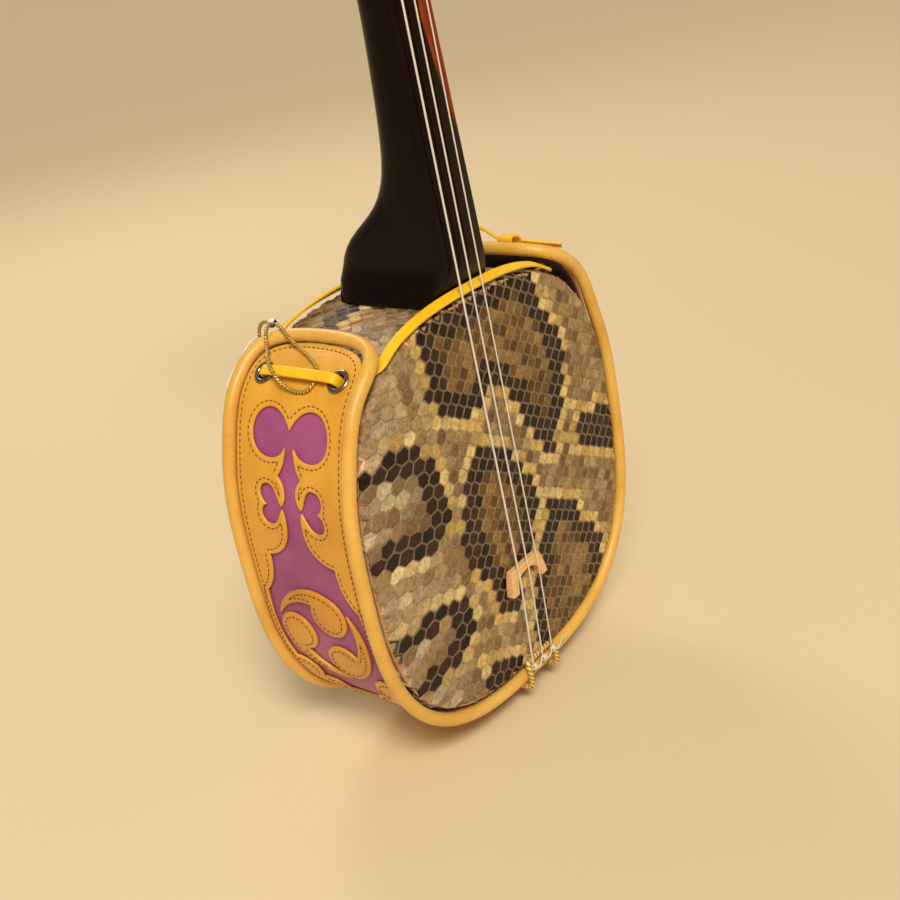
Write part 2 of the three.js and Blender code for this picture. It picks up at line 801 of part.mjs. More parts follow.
// A flat strap through points, each with the direction that its width runs in.
function strap(stations) {
  const rings = stations.map(({ at, across }, i) => {
    const before = stations[Math.max(i - 1, 0)].at;
    const after = stations[Math.min(i + 1, stations.length - 1)].at;
    const along = new THREE.Vector3().subVectors(after, before).normalize();
    const wide = across.clone().addScaledVector(along, -across.dot(along)).normalize();
    const thick = new THREE.Vector3().crossVectors(along, wide);
    const corners = [[-1, -1], [1, -1], [1, 1], [-1, 1]];
    return corners.map(([u, v]) =>
      at
        .clone()
        .addScaledVector(wide, (u * laceWidth) / 2)
        .addScaledVector(thick, (v * laceThickness) / 2),
    );
  });
  return loft(rings);
}

// The lace between the wrap's ends on one side of the neck, from one eyelet to the other.
function makeLaceRun(side) {
  const eyeletY = (side * eyeletSpacing) / 2;
  const outY = side * (drumDepth / 2 - 3);
  const end = eyeletReach + 1;
  const under = laceThickness / 2 + laceGap;
  const stations = [];
  const steps = 26;
  for (let i = 0; i <= steps; i++) {
    const part = i / steps;
    const reach = THREE.MathUtils.lerp(end, 2 * halfRound - end, part);
    const wrapped = reach > halfRound ? reach - 2 * halfRound : reach;
    const inwards = Math.abs(part * 2 - 1);
    const drift = THREE.MathUtils.smoothstep(inwards, 0.84, 1);
    const y = THREE.MathUtils.lerp(outY, eyeletY, drift);
    stations.push({ at: drumPoint(wrapped, y, under), across: new THREE.Vector3(0, 1, 0) });
  }
  return strap(stations);
}

// The stretch of lace that shows outside one end of the wrap, from eyelet to eyelet.
function makeLaceBridge(sign) {
  const reach = sign * eyeletReach;
  const above = faceOuter + eyeletRise + laceThickness / 2 + clearance + 0.9;
  const below = -0.8;
  const across = drumPoint(reach + 1, 0, 0).sub(drumPoint(reach, 0, 0));
  const half = eyeletSpacing / 2;
  const bow = [
    [-half, below],
    [-half + 0.4, above - 1.6],
    [-half + 2.4, above],
    [-half * 0.4, above + 0.6],
    [half * 0.4, above + 0.6],
    [half - 2.4, above],
    [half - 0.4, above - 1.6],
    [half, below],
  ];
  const stations = bow.map(([y, offset]) => ({ at: wrapPoint(reach, y, offset), across }));
  return strap(stations);
}

const knotDepth = 3.6; // half of the knot's thickness
const knotOffset = faceOuter + eyeletRise + laceThickness + knotDepth + 2.8;

function makeLaceKnot() {
  const knot = new THREE.SphereGeometry(1, 10, 8);
  knot.scale(6.2, knotDepth, 5);
  return standOnWrap(knot, -eyeletReach, 0, knotOffset);
}

// A loose end of the lace. The front one drops towards the drum's face, the rear one rises.
function makeLaceEnd(side) {
  const reach = -eyeletReach;
  const across = drumPoint(reach + 1, 0, 0).sub(drumPoint(reach, 0, 0));
  const front = [[0, 6.6, 0.2], [2, 12, 0.6], [4, 18, 1.2], [6.5, 25, 2.4]];
  const rear = [[0, 6.6, 0.2], [-2, 12, 2.8], [-4, 18, 5.2], [-7, 26, 6]];
  const route = side < 0 ? front : rear;
  const stations = route.map(([up, out, off]) => ({
    at: wrapPoint(reach + up, side * out, knotOffset + off),
    across,
  }));
  return strap(stations);
}

// ---- tag ---------------------------------------------------------------------------------

const acrossScale = wrapWidth / 64.8; // the tag and its cord are placed for a wrap 64.8 mm wide

// A card behind the rear roll, its long side along the drum's corner.
function makeTag() {
  const width = 24;
  const length = 34;
  const thickness = 0.6;
  const back = 44 * acrossScale;
  const reach = eyeletReach + 5;
  const card = new THREE.BoxGeometry(length, width, thickness);
  card.rotateX(Math.PI / 2);
  const normal = drumNormal(reach);
  card.rotateY(Math.atan2(normal.x, normal.z));
  const middle = drumPoint(reach, back - thickness / 2, 4.5 - width / 2);
  card.translate(middle.x, middle.y, middle.z);
  return card;
}

// The tag's cord: from the tag over the corner of the wrap's end, over the lace, back up behind it.
// Each point is how far it is past the eyelets, its depth, and its distance from the skin.
function tagCordPoints() {
  const route = [
    [19, 42.3, 3],
    [21.5, 41.6, 7],
    [22.5, 38.6, 9.6],
    [22.3, 34.6, 10.6],
    [21, 31.6, 11.4],
    [17.5, 29.6, 12],
    [14, 27.4, 11.8],
    [10, 24.6, 10.4],
    [6, 20.8, 10.9],
    [3.3, 17.6, 11.8],
    [0, 13.4, 12.1],
    [-2.4, 9.6, 12.1],
    [-4.8, 6, 10.4],
    [-6.2, 1.6, 8.4],
    [-6.6, -3.4, 7.5],
    [-5.8, -7.4, 7.5],
    [-2.8, -9.8, 7.5],
    [0.6, -10.2, 7.6],
    [3.4, -8.6, 7.6],
    [6.6, -4.4, 7.6],
    [10, 2.4, 7.6],
    [12.4, 8.4, 8.2],
    [15, 14.6, 10.4],
    [17.8, 20, 11.9],
    [20.2, 25.6, 11.6],
    [21.6, 29.2, 10.4],
  ];
  return route.map(([past, y, offset]) => drumPoint(eyeletReach + past, y * acrossScale, offset));
}

function makeTagCord() {
  return cord(tagCordPoints(), tagCordRadius);
}

// ---- materials and assembly --------------------------------------------------------------

const finishes = {
  lacquer: { color: 0x1c0f0b, roughness: 0.12, metalness: 0 },
  stave: { color: 0xb98b5a, roughness: 0.6, metalness: 0 },
  skin: { color: 0x7a6442, roughness: 0.45, metalness: 0 },
  bone: { color: 0xe9dfc8, roughness: 0.4, metalness: 0 },
  bamboo: { color: 0xe3c08a, roughness: 0.5, metalness: 0 },
  nylon: { color: 0xe8e0d0, roughness: 0.3, metalness: 0 },
  tan: { color: 0xe6a23c, roughness: 0.5, metalness: 0 },
  rim: { color: 0xeeb45c, roughness: 0.5, metalness: 0 },
  purple: { color: 0x8e3a72, roughness: 0.55, metalness: 0 },
  yellow: { color: 0xf2b90f, roughness: 0.45, metalness: 0 },
  steel: { color: 0x9a948c, roughness: 0.25, metalness: 1 },
  gold: { color: 0xc89a3a, roughness: 0.4, metalness: 0.4 },
  card: { color: 0xf4efe4, roughness: 0.8, metalness: 0 },
};

const lute = new THREE.Group();

function addPiece(name, geometry, finish) {
  const mesh = new THREE.Mesh(geometry, new THREE.MeshStandardMaterial(finishes[finish]));
  mesh.name = name;
  lute.add(mesh);
}

addPiece('neck', makeNeck(), 'lacquer');
addPiece('nut', makeNut(), 'bone');
['stave_top', 'stave_left', 'stave_bottom', 'stave_right'].forEach((name, turns) => {
  addPiece(name, makeStave(turns), 'stave');
});
addPiece('front_skin', makeSkin(-1), 'skin');
addPiece('back_skin', makeSkin(1), 'skin');
for (let index = 0; index < 3; index++) {
  addPiece(`peg_${index + 1}`, makePeg(index), 'lacquer');
  addPiece(`string_winding_${index + 1}`, makeWinding(index), 'nylon');
  addPiece(`string_${index + 1}`, makeString(index), 'nylon');
  addPiece(`string_knot_${index + 1}`, makeKnot(index), 'nylon');
}
addPiece('bridge', makeBridge(), 'bamboo');
addPiece('string_hanger', makeHanger(), 'gold');
addPiece('wrap_lining', makeLining(), 'purple');
addPiece('wrap_face', makeFace(), 'tan');
for (const [side, mirrored] of [['left', false], ['right', true]]) {
  for (let index = 0; index < 3; index++) {
    addPiece(`comma_${side}_${index + 1}`, makeComma(index, mirrored), 'tan');
  }
}
addPiece('front_roll', makeRoll(-1), 'rim');
addPiece('rear_roll', makeRoll(1), 'rim');
eyeletPlaces().forEach((place, index) => {
  addPiece(`eyelet_${index + 1}`, makeEyelet(place), 'steel');
});
addPiece('lace_front_run', makeLaceRun(-1), 'yellow');
addPiece('lace_rear_run', makeLaceRun(1), 'yellow');
addPiece('lace_left', makeLaceBridge(1), 'yellow');
addPiece('lace_right', makeLaceBridge(-1), 'yellow');
addPiece('lace_knot', makeLaceKnot(), 'yellow');
addPiece('lace_end_front', makeLaceEnd(-1), 'yellow');
addPiece('lace_end_rear', makeLaceEnd(1), 'yellow');
addPiece('tag', makeTag(), 'card');
addPiece('tag_cord', makeTagCord(), 'gold');

export default lute;
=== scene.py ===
import math
import random

import bmesh
import bpy
from mathutils import Matrix, Quaternion, Vector


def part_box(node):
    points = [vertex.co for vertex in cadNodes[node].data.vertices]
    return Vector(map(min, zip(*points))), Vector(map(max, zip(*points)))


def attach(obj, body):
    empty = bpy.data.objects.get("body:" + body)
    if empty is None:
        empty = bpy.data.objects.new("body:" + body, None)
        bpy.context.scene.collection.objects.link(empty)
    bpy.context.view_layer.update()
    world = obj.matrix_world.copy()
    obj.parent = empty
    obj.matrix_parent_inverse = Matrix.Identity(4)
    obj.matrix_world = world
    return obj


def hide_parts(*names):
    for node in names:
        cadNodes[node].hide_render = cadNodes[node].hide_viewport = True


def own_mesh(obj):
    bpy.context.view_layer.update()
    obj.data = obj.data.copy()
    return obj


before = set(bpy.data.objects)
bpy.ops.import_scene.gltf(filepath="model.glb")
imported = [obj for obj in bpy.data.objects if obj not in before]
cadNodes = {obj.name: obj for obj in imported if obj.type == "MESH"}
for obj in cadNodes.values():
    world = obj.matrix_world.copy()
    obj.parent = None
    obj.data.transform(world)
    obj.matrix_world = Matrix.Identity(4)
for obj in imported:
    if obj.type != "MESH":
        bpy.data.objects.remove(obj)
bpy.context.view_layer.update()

# Flat patterns are drawn in millimetres and turned to metres when they are placed.
mm = 0.001
fullTurn = 2 * math.pi
skinLow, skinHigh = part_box("front_skin")
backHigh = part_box("back_skin")[1]
drum = {
    "halfWidth": skinHigh.x / mm,
    "halfHeight": (skinHigh.z - skinLow.z) / 2 / mm,
    "centre": (skinHigh.z + skinLow.z) / 2 / mm,
    "front": skinLow.y / mm,
    "back": backHigh.y / mm,
    "squareness": 2.8,   # 2 would be an ellipse
}


def lerp(a, b, part):
    return a + (b - a) * part


def smoothstep(value, low, high):
    part = min(max((value - low) / (high - low), 0), 1)
    return part * part * (3 - 2 * part)


# Working on pieces

def linked(name, data):
    piece = bpy.data.objects.new(name, data)
    bpy.context.scene.collection.objects.link(piece)
    return piece


def deselectAll():
    if bpy.context.object and bpy.context.object.mode != "OBJECT":
        bpy.ops.object.mode_set(mode="OBJECT")
    bpy.ops.object.select_all(action="DESELECT")


def pick(piece):
    deselectAll()
    piece.select_set(True)
    bpy.context.view_layer.objects.active = piece


def applyModifier(piece, kind, **settings):
    pick(piece)
    modifier = piece.modifiers.new(kind.title(), kind)
    for key, value in settings.items():
        setattr(modifier, key, value)
    bpy.ops.object.modifier_apply(modifier=modifier.name)


def weld(piece, distance=1e-6):
    pick(piece)
    bpy.ops.object.mode_set(mode="EDIT")
    bpy.ops.mesh.select_mode(type="VERT")
    bpy.ops.mesh.select_all(action="SELECT")
    bpy.ops.mesh.remove_doubles(threshold=distance)
    bpy.ops.mesh.select_all(action="DESELECT")
    bpy.ops.mesh.select_non_manifold(extend=False)
    bpy.ops.mesh.fill_holes(sides=0)
    bpy.ops.mesh.select_all(action="SELECT")
    bpy.ops.mesh.normals_make_consistent(inside=False)
    bpy.ops.object.mode_set(mode="OBJECT")


def faceOutwards(piece):
    pick(piece)
    bpy.ops.object.mode_set(mode="EDIT")
    bpy.ops.mesh.select_all(action="SELECT")
    bpy.ops.mesh.normals_make_consistent(inside=False)
    bpy.ops.object.mode_set(mode="OBJECT")


def smooth(piece, degrees=35):
    pick(piece)
    bpy.ops.object.shade_smooth_by_angle(angle=math.radians(degrees))


# A grid whose points are put in place by a rule: across goes round a piece and along goes up it.
def formed(name, columns, rows, place, angle=35):
    deselectAll()
    bpy.ops.mesh.primitive_grid_add(x_subdivisions=columns, y_subdivisions=rows, size=1)
    piece = bpy.context.object
    piece.name = name
    for vertex in piece.data.vertices:
        vertex.co = place(vertex.co.x + 0.5, vertex.co.y + 0.5)
    weld(piece)
    smooth(piece, angle)
    return piece


# A smooth line through points, sampled evenly by length.
def smoothLine(points, step):
    points = [Vector(point) for point in points]
    ends = [2 * points[0] - points[1]] + points + [2 * points[-1] - points[-2]]
    fine = []
    for i in range(1, len(ends) - 2):
        a, b, c, d = ends[i - 1], ends[i], ends[i + 1], ends[i + 2]
        for k in range(16):
            t = k / 16
            fine.append(0.5 * (2 * b + (c - a) * t + (2 * a - 5 * b + 4 * c - d) * t * t
                               + (3 * b - a - 3 * c + d) * t ** 3))
    fine.append(points[-1])
    return evenly(fine, step)


def evenly(points, step):
    lengths = [0]
    for a, b in zip(points, points[1:]):
        lengths.append(lengths[-1] + (b - a).length)
    count = max(2, round(lengths[-1] / step))
    found = []
    at = 0
    for i in range(count + 1):
        wanted = lengths[-1] * i / count
        while at < len(points) - 2 and lengths[at + 1] < wanted:
            at += 1
        span = lengths[at + 1] - lengths[at]
        part = (wanted - lengths[at]) / span if span else 0
        found.append(points[at].lerp(points[at + 1], min(max(part, 0), 1)))
    return found


# A tube along a line. The radius may be a rule of the angle round it and the distance along it.
def tube(name, line, radius, sides=12, angle=60):
    frames = []
    across = None
    along = 0
    for i, point in enumerate(line):
        ahead = line[min(i + 1, len(line) - 1)] - line[max(i - 1, 0)]
        ahead.normalize()
        if across is None:
            across = ahead.orthogonal().normalized()
        across = (across - ahead * across.dot(ahead)).normalized()
        if i:
            along += (point - line[i - 1]).length
        frames.append((point, across.copy(), ahead.cross(across), along))

    def place(u, v):
        point, first, second, far = frames[round(v * (len(frames) - 1))]
        turn = u * fullTurn
        out = radius(turn, far) if callable(radius) else radius
        return point + (first * math.cos(turn) + second * math.sin(turn)) * out

    return formed(name, sides, len(line) - 1, place, angle=angle)


# The radius of plies twisted round each other.
def twisted(radius, pitch, plies=2, depth=0.3):
    def radiusAt(turn, along):
        wave = abs(math.cos((turn - along / pitch * fullTurn) * plies / 2))
        return radius * (1 - depth + depth * wave)
    return radiusAt


# A turned piece: its profile (radius, along) is spun round an axis.
def turned(name, profile, origin, axis, steps=40, angle=35):
    turn = Vector((0, 0, 1)).rotation_difference(Vector(axis))
    points = [Vector((radius, 0, along)) for radius, along in profile]

    def place(u, v):
        point = points[round(v * (len(points) - 1))].copy()
        point.rotate(Quaternion((0, 0, 1), u * fullTurn))
        point.rotate(turn)
        return (point + Vector(origin)) * mm

    return formed(name, steps, len(points) - 1, place, angle=angle)


# A block with softened edges, its middle at a height.
def softBlock(name, size, height, bevel, segments):
    deselectAll()
    bpy.ops.mesh.primitive_cube_add(size=1, location=(0, 0, height * mm))
    piece = bpy.context.object
    piece.name = name
    piece.scale = [side * mm for side in size]
    bpy.ops.object.transform_apply(location=True, rotation=True, scale=True)
    bpy.ops.object.mode_set(mode="EDIT")
    bpy.ops.mesh.select_all(action="SELECT")
    bpy.ops.mesh.bevel(offset=bevel * mm, segments=segments)
    bpy.ops.object.mode_set(mode="OBJECT")
    return piece


# A flat pattern, filled between its outlines and given a thickness with rounded edges.
def flatPattern(name, outlines, thickness, bevel, rounding):
    shape = bpy.data.curves.new(name, "CURVE")
    shape.dimensions = "2D"
    shape.fill_mode = "BOTH"
    shape.bevel_depth = bevel
    shape.bevel_resolution = rounding
    shape.offset = -bevel
    shape.extrude = thickness / 2 - bevel
    for outline in outlines:
        spline = shape.splines.new("POLY")
        spline.points.add(len(outline) - 1)
        for place, point in zip(spline.points, outline):
            place.co = (point.x, point.y, 0, 1)
        spline.use_cyclic_u = True
    pick(linked(name, shape))
    bpy.ops.object.convert(target="MESH")
    return bpy.context.object


# Materials

def colour(text):
    parts = [int(text[i:i + 2], 16) / 255 for i in (1, 3, 5)]
    linear = [part / 12.92 if part <= 0.04045 else ((part + 0.055) / 1.055) ** 2.4 for part in parts]
    return (*linear, 1)


def addNode(tree, kind, inputs=None, stops=None, **settings):
    node = tree.nodes.new("ShaderNode" + kind)
    for key, value in settings.items():
        setattr(node, key, value)
    for key, value in (inputs or {}).items():
        if isinstance(value, bpy.types.NodeSocket):
            tree.links.new(value, node.inputs[key])
        else:
            node.inputs[key].default_value = value
    if stops:
        elements = node.color_ramp.elements
        while len(elements) < len(stops):
            elements.new(1)
        for element, (position, shade) in zip(elements, stops):
            element.position = position
            element.color = shade
    return node


def newMaterial(name, **shader):
    material = bpy.data.materials.new(name)
    material.use_nodes = True
    tree = material.node_tree
    surface = tree.nodes["Principled BSDF"]
    for key, value in shader.items():
        surface.inputs[key.replace("_", " ")].default_value = value
    return material, tree, surface


def objectPoint(tree):
    return addNode(tree, "TexCoord").outputs["Object"]


def noise(tree, point, perMetre, detail=4, roughness=0.5):
    inputs = {"Vector": point, "Scale": perMetre, "Detail": detail, "Roughness": roughness}
    return addNode(tree, "TexNoise", inputs).outputs["Fac"]


def ramp(tree, value, *stops):
    stops = [(at, colour(shade) if isinstance(shade, str) else (shade, shade, shade, 1))
             for at, shade in stops]
    return addNode(tree, "ValToRGB", {"Fac": value}, stops=stops).outputs["Color"]


def mix(tree, factor, first, second, how="MIX"):
    inputs = {0: factor, 6: first, 7: second}
    return addNode(tree, "Mix", inputs, data_type="RGBA", blend_type=how).outputs[2]


def sums(tree, operation, first, second=0.0, third=0.0):
    inputs = {0: first, 1: second, 2: third}
    return addNode(tree, "Math", inputs, operation=operation).outputs[0]


def bump(tree, surface, height, strength, distance):
    inputs = {"Height": height, "Strength": strength, "Distance": distance}
    tree.links.new(addNode(tree, "Bump", inputs).outputs["Normal"], surface.inputs["Normal"])


# Urushi lacquer over dark wood: almost black, mirror gloss, and red-brown where light gets in, which is
# painted as a band of light up the right of the neck.
def lacquerMaterial():
    material, tree, surface = newMaterial("urushi lacquer", Roughness=0.07, Specular_IOR_Level=0.12)
    point = objectPoint(tree)
    place = addNode(tree, "SeparateXYZ", {0: point})
    stretched = addNode(tree, "Mapping", {"Vector": point, "Scale": (1, 1, 0.06)}).outputs[0]
    grain = noise(tree, stretched, 420, 6, 0.6)
    dark = ramp(tree, grain, (0.3, "#080302"), (0.75, "#180703"))
    red = ramp(tree, grain, (0.3, "#6E2009"), (0.6, "#96360F"), (0.8, "#B3541C"))
    # painted light: a red-brown band of lit lacquer runs up the right of the neck, above a small knot
    wander = noise(tree, stretched, 60, 3, 0.5)
    edge = sums(tree, "MULTIPLY_ADD", wander, 0.012, 0.0005)
    height = addNode(tree, "MapRange", {0: place.outputs["Z"], 1: 0.27, 2: 0.33, 3: 0.008, 4: -0.002})
    beyond = sums(tree, "SUBTRACT", sums(tree, "SUBTRACT", place.outputs["X"], height.outputs[0]), edge)
    litBand = addNode(tree, "MapRange", {0: beyond, 1: -0.0006, 2: 0.0012}).outputs[0]
    low = addNode(tree, "MapRange", {0: place.outputs["Z"], 1: 0.279, 2: 0.290}).outputs[0]
    high = addNode(tree, "MapRange", {0: place.outputs["Z"], 1: 0.62, 2: 0.50}).outputs[0]
    share = sums(tree, "MULTIPLY", sums(tree, "MULTIPLY", litBand, low), high)
    tree.links.new(mix(tree, share, dark, red), surface.inputs["Base Color"])
    bump(tree, surface, noise(tree, point, 35, 2), 0.05, 0.001)
    return material


# Tanned python skin: each scale has its own colour, satin on top with fine wrinkles.
def snakeMaterial():
    material, tree, surface = newMaterial("tanned python skin", Roughness=0.36, Specular_IOR_Level=0.25)
    point = objectPoint(tree)
    own = addNode(tree, "Attribute", attribute_name="scaleColour").outputs["Color"]
    mottle = ramp(tree, noise(tree, point, 420, 6, 0.65), (0.32, 0.45), (0.5, 0.95), (0.7, 1.3))
    speckle = ramp(tree, noise(tree, point, 1300, 3, 0.7), (0.35, 0.72), (0.6, 1.06))
    shaded = mix(tree, 1.0, mix(tree, 0.75, own, mottle, "MULTIPLY"), speckle, "MULTIPLY")
    tree.links.new(shaded, surface.inputs["Base Color"])
    rough = ramp(tree, noise(tree, point, 900, 3), (0.3, 0.28), (0.7, 0.55))
    tree.links.new(rough, surface.inputs["Roughness"])
    lines = addNode(tree, "Mapping", {"Vector": point, "Scale": (1, 1, 0.35)}).outputs[0]
    bump(tree, surface, noise(tree, lines, 1500, 4, 0.7), 0.35, 0.0003)
    return material


# Dyed calf leather: even colour, soft mottling, tiny pebbled grain that is drawn coarse enough to show.
def leatherMaterial(name, shades, roughness, grain=0.18):
    material, tree, surface = newMaterial(name, Roughness=roughness, IOR=1.48)
    surface.inputs["Sheen Weight"].default_value = 0.08
    point = objectPoint(tree)
    cloud = noise(tree, point, 38, 4, 0.55)
    fine = noise(tree, point, 700, 3, 0.6)
    base = ramp(tree, cloud, (0.3, shades[0]), (0.5, shades[1]), (0.72, shades[2]))
    shade = mix(tree, 0.3, base, ramp(tree, fine, (0.3, 0.72), (0.7, 1.12)), "MULTIPLY")
    tree.links.new(shade, surface.inputs["Base Color"])
    pebbles = addNode(tree, "TexVoronoi", {"Vector": point, "Scale": 1500.0}, feature="SMOOTH_F1")
    height = sums(tree, "ADD", pebbles.outputs["Distance"], sums(tree, "MULTIPLY", fine, 0.8))
    bump(tree, surface, height, grain, 0.0004)
    return material


# Nickel plate, polished, with faint turning marks.
def nickelMaterial():
    material, tree, surface = newMaterial("nickel plate", Roughness=0.24, Metallic=1.0)
    point = objectPoint(tree)
    worn = ramp(tree, noise(tree, point, 500, 4), (0.3, "#6E6762"), (0.7, "#A39A92"))
    tree.links.new(worn, surface.inputs["Base Color"])
    bump(tree, surface, noise(tree, point, 1800, 2), 0.08, 0.0002)
    return material


# Thread wound from fine fibres: the stripes follow the piece's own UV, round and along it.
def threadMaterial(name, dark, light, roughness, metallic, turns):
    material, tree, surface = newMaterial(name, Roughness=roughness, Metallic=metallic)
    flat = addNode(tree, "SeparateXYZ", {0: addNode(tree, "UVMap").outputs["UV"]})
    spiral = sums(tree, "MULTIPLY_ADD", flat.outputs["Y"], float(turns), flat.outputs["X"])
    wave = sums(tree, "SINE", sums(tree, "MULTIPLY", spiral, fullTurn * 2))
    share = sums(tree, "MULTIPLY_ADD", wave, 0.5, 0.5)
    shade = mix(tree, share, colour(dark), colour(light))
    fleck = ramp(tree, noise(tree, objectPoint(tree), 2500, 2), (0.3, 0.75), (0.7, 1.1))
    tree.links.new(mix(tree, 1.0, shade, fleck, "MULTIPLY"), surface.inputs["Base Color"])
    bump(tree, surface, wave, 0.3, 0.0001)
    return material


# Split and planed bamboo: pale, with straight fibres along the span and a satin face.
def woodMaterial(name, shades, stretch, perMetre, roughness):
    material, tree, surface = newMaterial(name, Roughness=roughness)
    point = objectPoint(tree)
    stretched = addNode(tree, "Mapping", {"Vector": point, "Scale": stretch}).outputs[0]
    fibre = noise(tree, stretched, perMetre, 5, 0.6)
    shade = ramp(tree, fibre, (0.3, shades[0]), (0.55, shades[1]), (0.75, shades[2]))
    tree.links.new(shade, surface.inputs["Base Color"])
    bump(tree, surface, fibre, 0.15, 0.0002)
    return material


# Polished bone and plain card: almost even, with a faint cloud in them.
def paleMaterial(name, dark, light, roughness, perMetre):
    material, tree, surface = newMaterial(name, Roughness=roughness)
    point = objectPoint(tree)
    cloud = noise(tree, point, perMetre, 4, 0.6)
    tree.links.new(ramp(tree, cloud, (0.35, dark), (0.7, light)), surface.inputs["Base Color"])
    bump(tree, surface, cloud, 0.08, 0.0002)
    return material


lacquer = lacquerMaterial()
snake = snakeMaterial()
tan = leatherMaterial("dyed calf leather, tan", ("#CF9225", "#DB9F2E", "#E2AB3A"), 0.42)
darkTan = leatherMaterial("dyed calf leather, dark tan", ("#C2801B", "#D09023", "#DA9C2E"), 0.42)
rolledTan = leatherMaterial("folded calf leather, tan", ("#D09A3A", "#DCA948", "#E4B65A"), 0.38)
# painted shade: near-black leather for the lining's inward faces, standing in for the shade under the
# lifted wrap ends
shadedUnderside = leatherMaterial("lining underside, painted shade", ("#2E1712", "#3A1E17", "#45261D"), 0.8, 0.3)
cutEdge = leatherMaterial("cut leather edge", ("#E6B862", "#EEC676", "#F4D08A"), 0.6)
purple = leatherMaterial("dyed goat leather, purple", ("#8E3A70", "#9B467E", "#A9558C"), 0.5, 0.25)
yellow = leatherMaterial("dyed lace leather, yellow", ("#E8B008", "#F0BC0C", "#F6C81C"), 0.4, 0.1)
stitchThread = paleMaterial("waxed thread, rust", "#6E2A0C", "#8E3F16", 0.55, 900)
nickel = nickelMaterial()
nylon = threadMaterial("twisted nylon", "#CFC3B4", "#F1E9DD", 0.3, 0.0, 300)
goldCord = threadMaterial("metallic twist, gold", "#8C5E14", "#F0CE74", 0.38, 0.55, 40)
hangerCord = threadMaterial("braided cord, gold", "#A8781E", "#F2D27C", 0.5, 0.2, 40)
bamboo = woodMaterial("planed bamboo", ("#D29A5E", "#E3B47C", "#EEC897"), (0.08, 1, 1), 900, 0.45)
staveWood = woodMaterial("planed stave wood", ("#9A6C3E", "#B98B5A", "#CBA072"), (1, 1, 0.1), 300, 0.65)
bone = paleMaterial("polished bone", "#DDD0B4", "#F1E8D3", 0.3, 120)
card = paleMaterial("plain card", "#E8E1D2", "#F4EFE4", 0.8, 500)


def paint(piece, *materials):
    piece.data.materials.clear()
    for material in materials:
        piece.data.materials.append(material)


def settle(piece, body, slot, *replaced):
    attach(piece, body)
    if replaced:
        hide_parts(*replaced)


# Camera

view = {
    "lens": 48.35,
    "place": (-0.3922, -0.3653, 0.3706),
    "right": (0.60437, -0.77719, -0.17524),
    "back": (-0.67391, -0.61602, 0.40789),
}
camera = linked("camera", bpy.data.cameras.new("camera"))
camera.data.sensor_width = 36
camera.data.lens = view["lens"]
viewRight = Vector(view["right"])
viewBack = Vector(view["back"])
viewAxes = Matrix((viewRight, viewBack.cross(viewRight), viewBack)).transposed()
camera.matrix_world = Matrix.Translation(view["place"]) @ viewAxes.to_4x4()
bpy.context.scene.camera = camera


# The drum's outline, measured along the leather wrap

wrap = {
    "width": 64.8,
    "gap": 59.6,           # from the top centre to each rounded end
    "eyeletInset": 17,
    "liningInner": 0.4,
    "liningOuter": 1.4,
    "faceInner": 1.7,
    "faceOuter": 3.1,
    "rollRadius": 3.2,
    "eyeletSpacing": 44,
    "eyeletHole": 3.1,
    "eyeletRise": 1.2,
    "liftFrom": 55,        # the ends stand off the drum, starting so far from their tips
    "liftFull": 21,
    "liftLeft": 3.2,
    "liftRight": 5.5,
}


def outlineAt(angle):
    power = 2 / drum["squareness"]
    sine = math.sin(angle)
    cosine = math.cos(angle)
    x = -drum["halfWidth"] * math.copysign(abs(sine) ** power, sine)
    z = -drum["halfHeight"] * math.copysign(abs(cosine) ** power, cosine)
    normal = Vector((-math.copysign(abs(sine) ** (2 - power), sine) / drum["halfWidth"], 0,
                     -math.copysign(abs(cosine) ** (2 - power), cosine) / drum["halfHeight"]))
    return Vector((x, 0, z + drum["centre"])), normal.normalized()


def measureOutline(steps=1440):
    table = []
    for i in range(steps + 1):
        angle = math.pi * i / steps
        at, normal = outlineAt(angle)
        point = at + normal * wrap["faceOuter"]
        reach = table[-1][0] + (point - table[-1][2]).length if table else 0
        table.append((reach, angle, point))
    return table


reachTable = measureOutline()
halfRound = reachTable[-1][0]
wrap["reach"] = halfRound - wrap["gap"]
wrap["eyeletReach"] = wrap["reach"] - wrap["eyeletInset"]


def angleAtReach(reach):
    wanted = abs(reach)
    low = 0
    high = len(reachTable) - 1
    while high - low > 1:
        middle = (low + high) // 2
        if reachTable[middle][0] > wanted:
            high = middle
        else:
            low = middle
    first, last = reachTable[low], reachTable[high]
    angle = lerp(first[1], last[1], (wanted - first[0]) / (last[0] - first[0]))
    return math.copysign(angle, reach)


# How far the wrap's ends stand off the drum.
def lift(reach):
    full = wrap["liftLeft"] if reach > 0 else wrap["liftRight"]
    fromTip = wrap["reach"] - abs(reach)
    return (1 - smoothstep(fromTip, wrap["liftFull"], wrap["liftFrom"])) * full


# A point on the drum's side: reach from the bottom centre (positive on the -X side), depth, and
# distance outwards from the skin.
def drumPoint(reach, y, offset):
    if abs(reach) > halfRound:
        reach -= math.copysign(2 * halfRound, reach)
    at, normal = outlineAt(angleAtReach(reach))
    return (at + normal * offset + Vector((0, y, 0))) * mm


def wrapPoint(reach, y, offset):
    return drumPoint(reach, y, offset + lift(reach))


def alongWrap(reach):
    return (drumPoint(reach + 1, 0, 0) - drumPoint(reach, 0, 0)).normalized()


def outwards(reach):
    return (drumPoint(reach, 0, 1) - drumPoint(reach, 0, 0)).normalized()


# The tag's cord and its clip

tagCord = {"radius": 0.9, "pitch": 4}
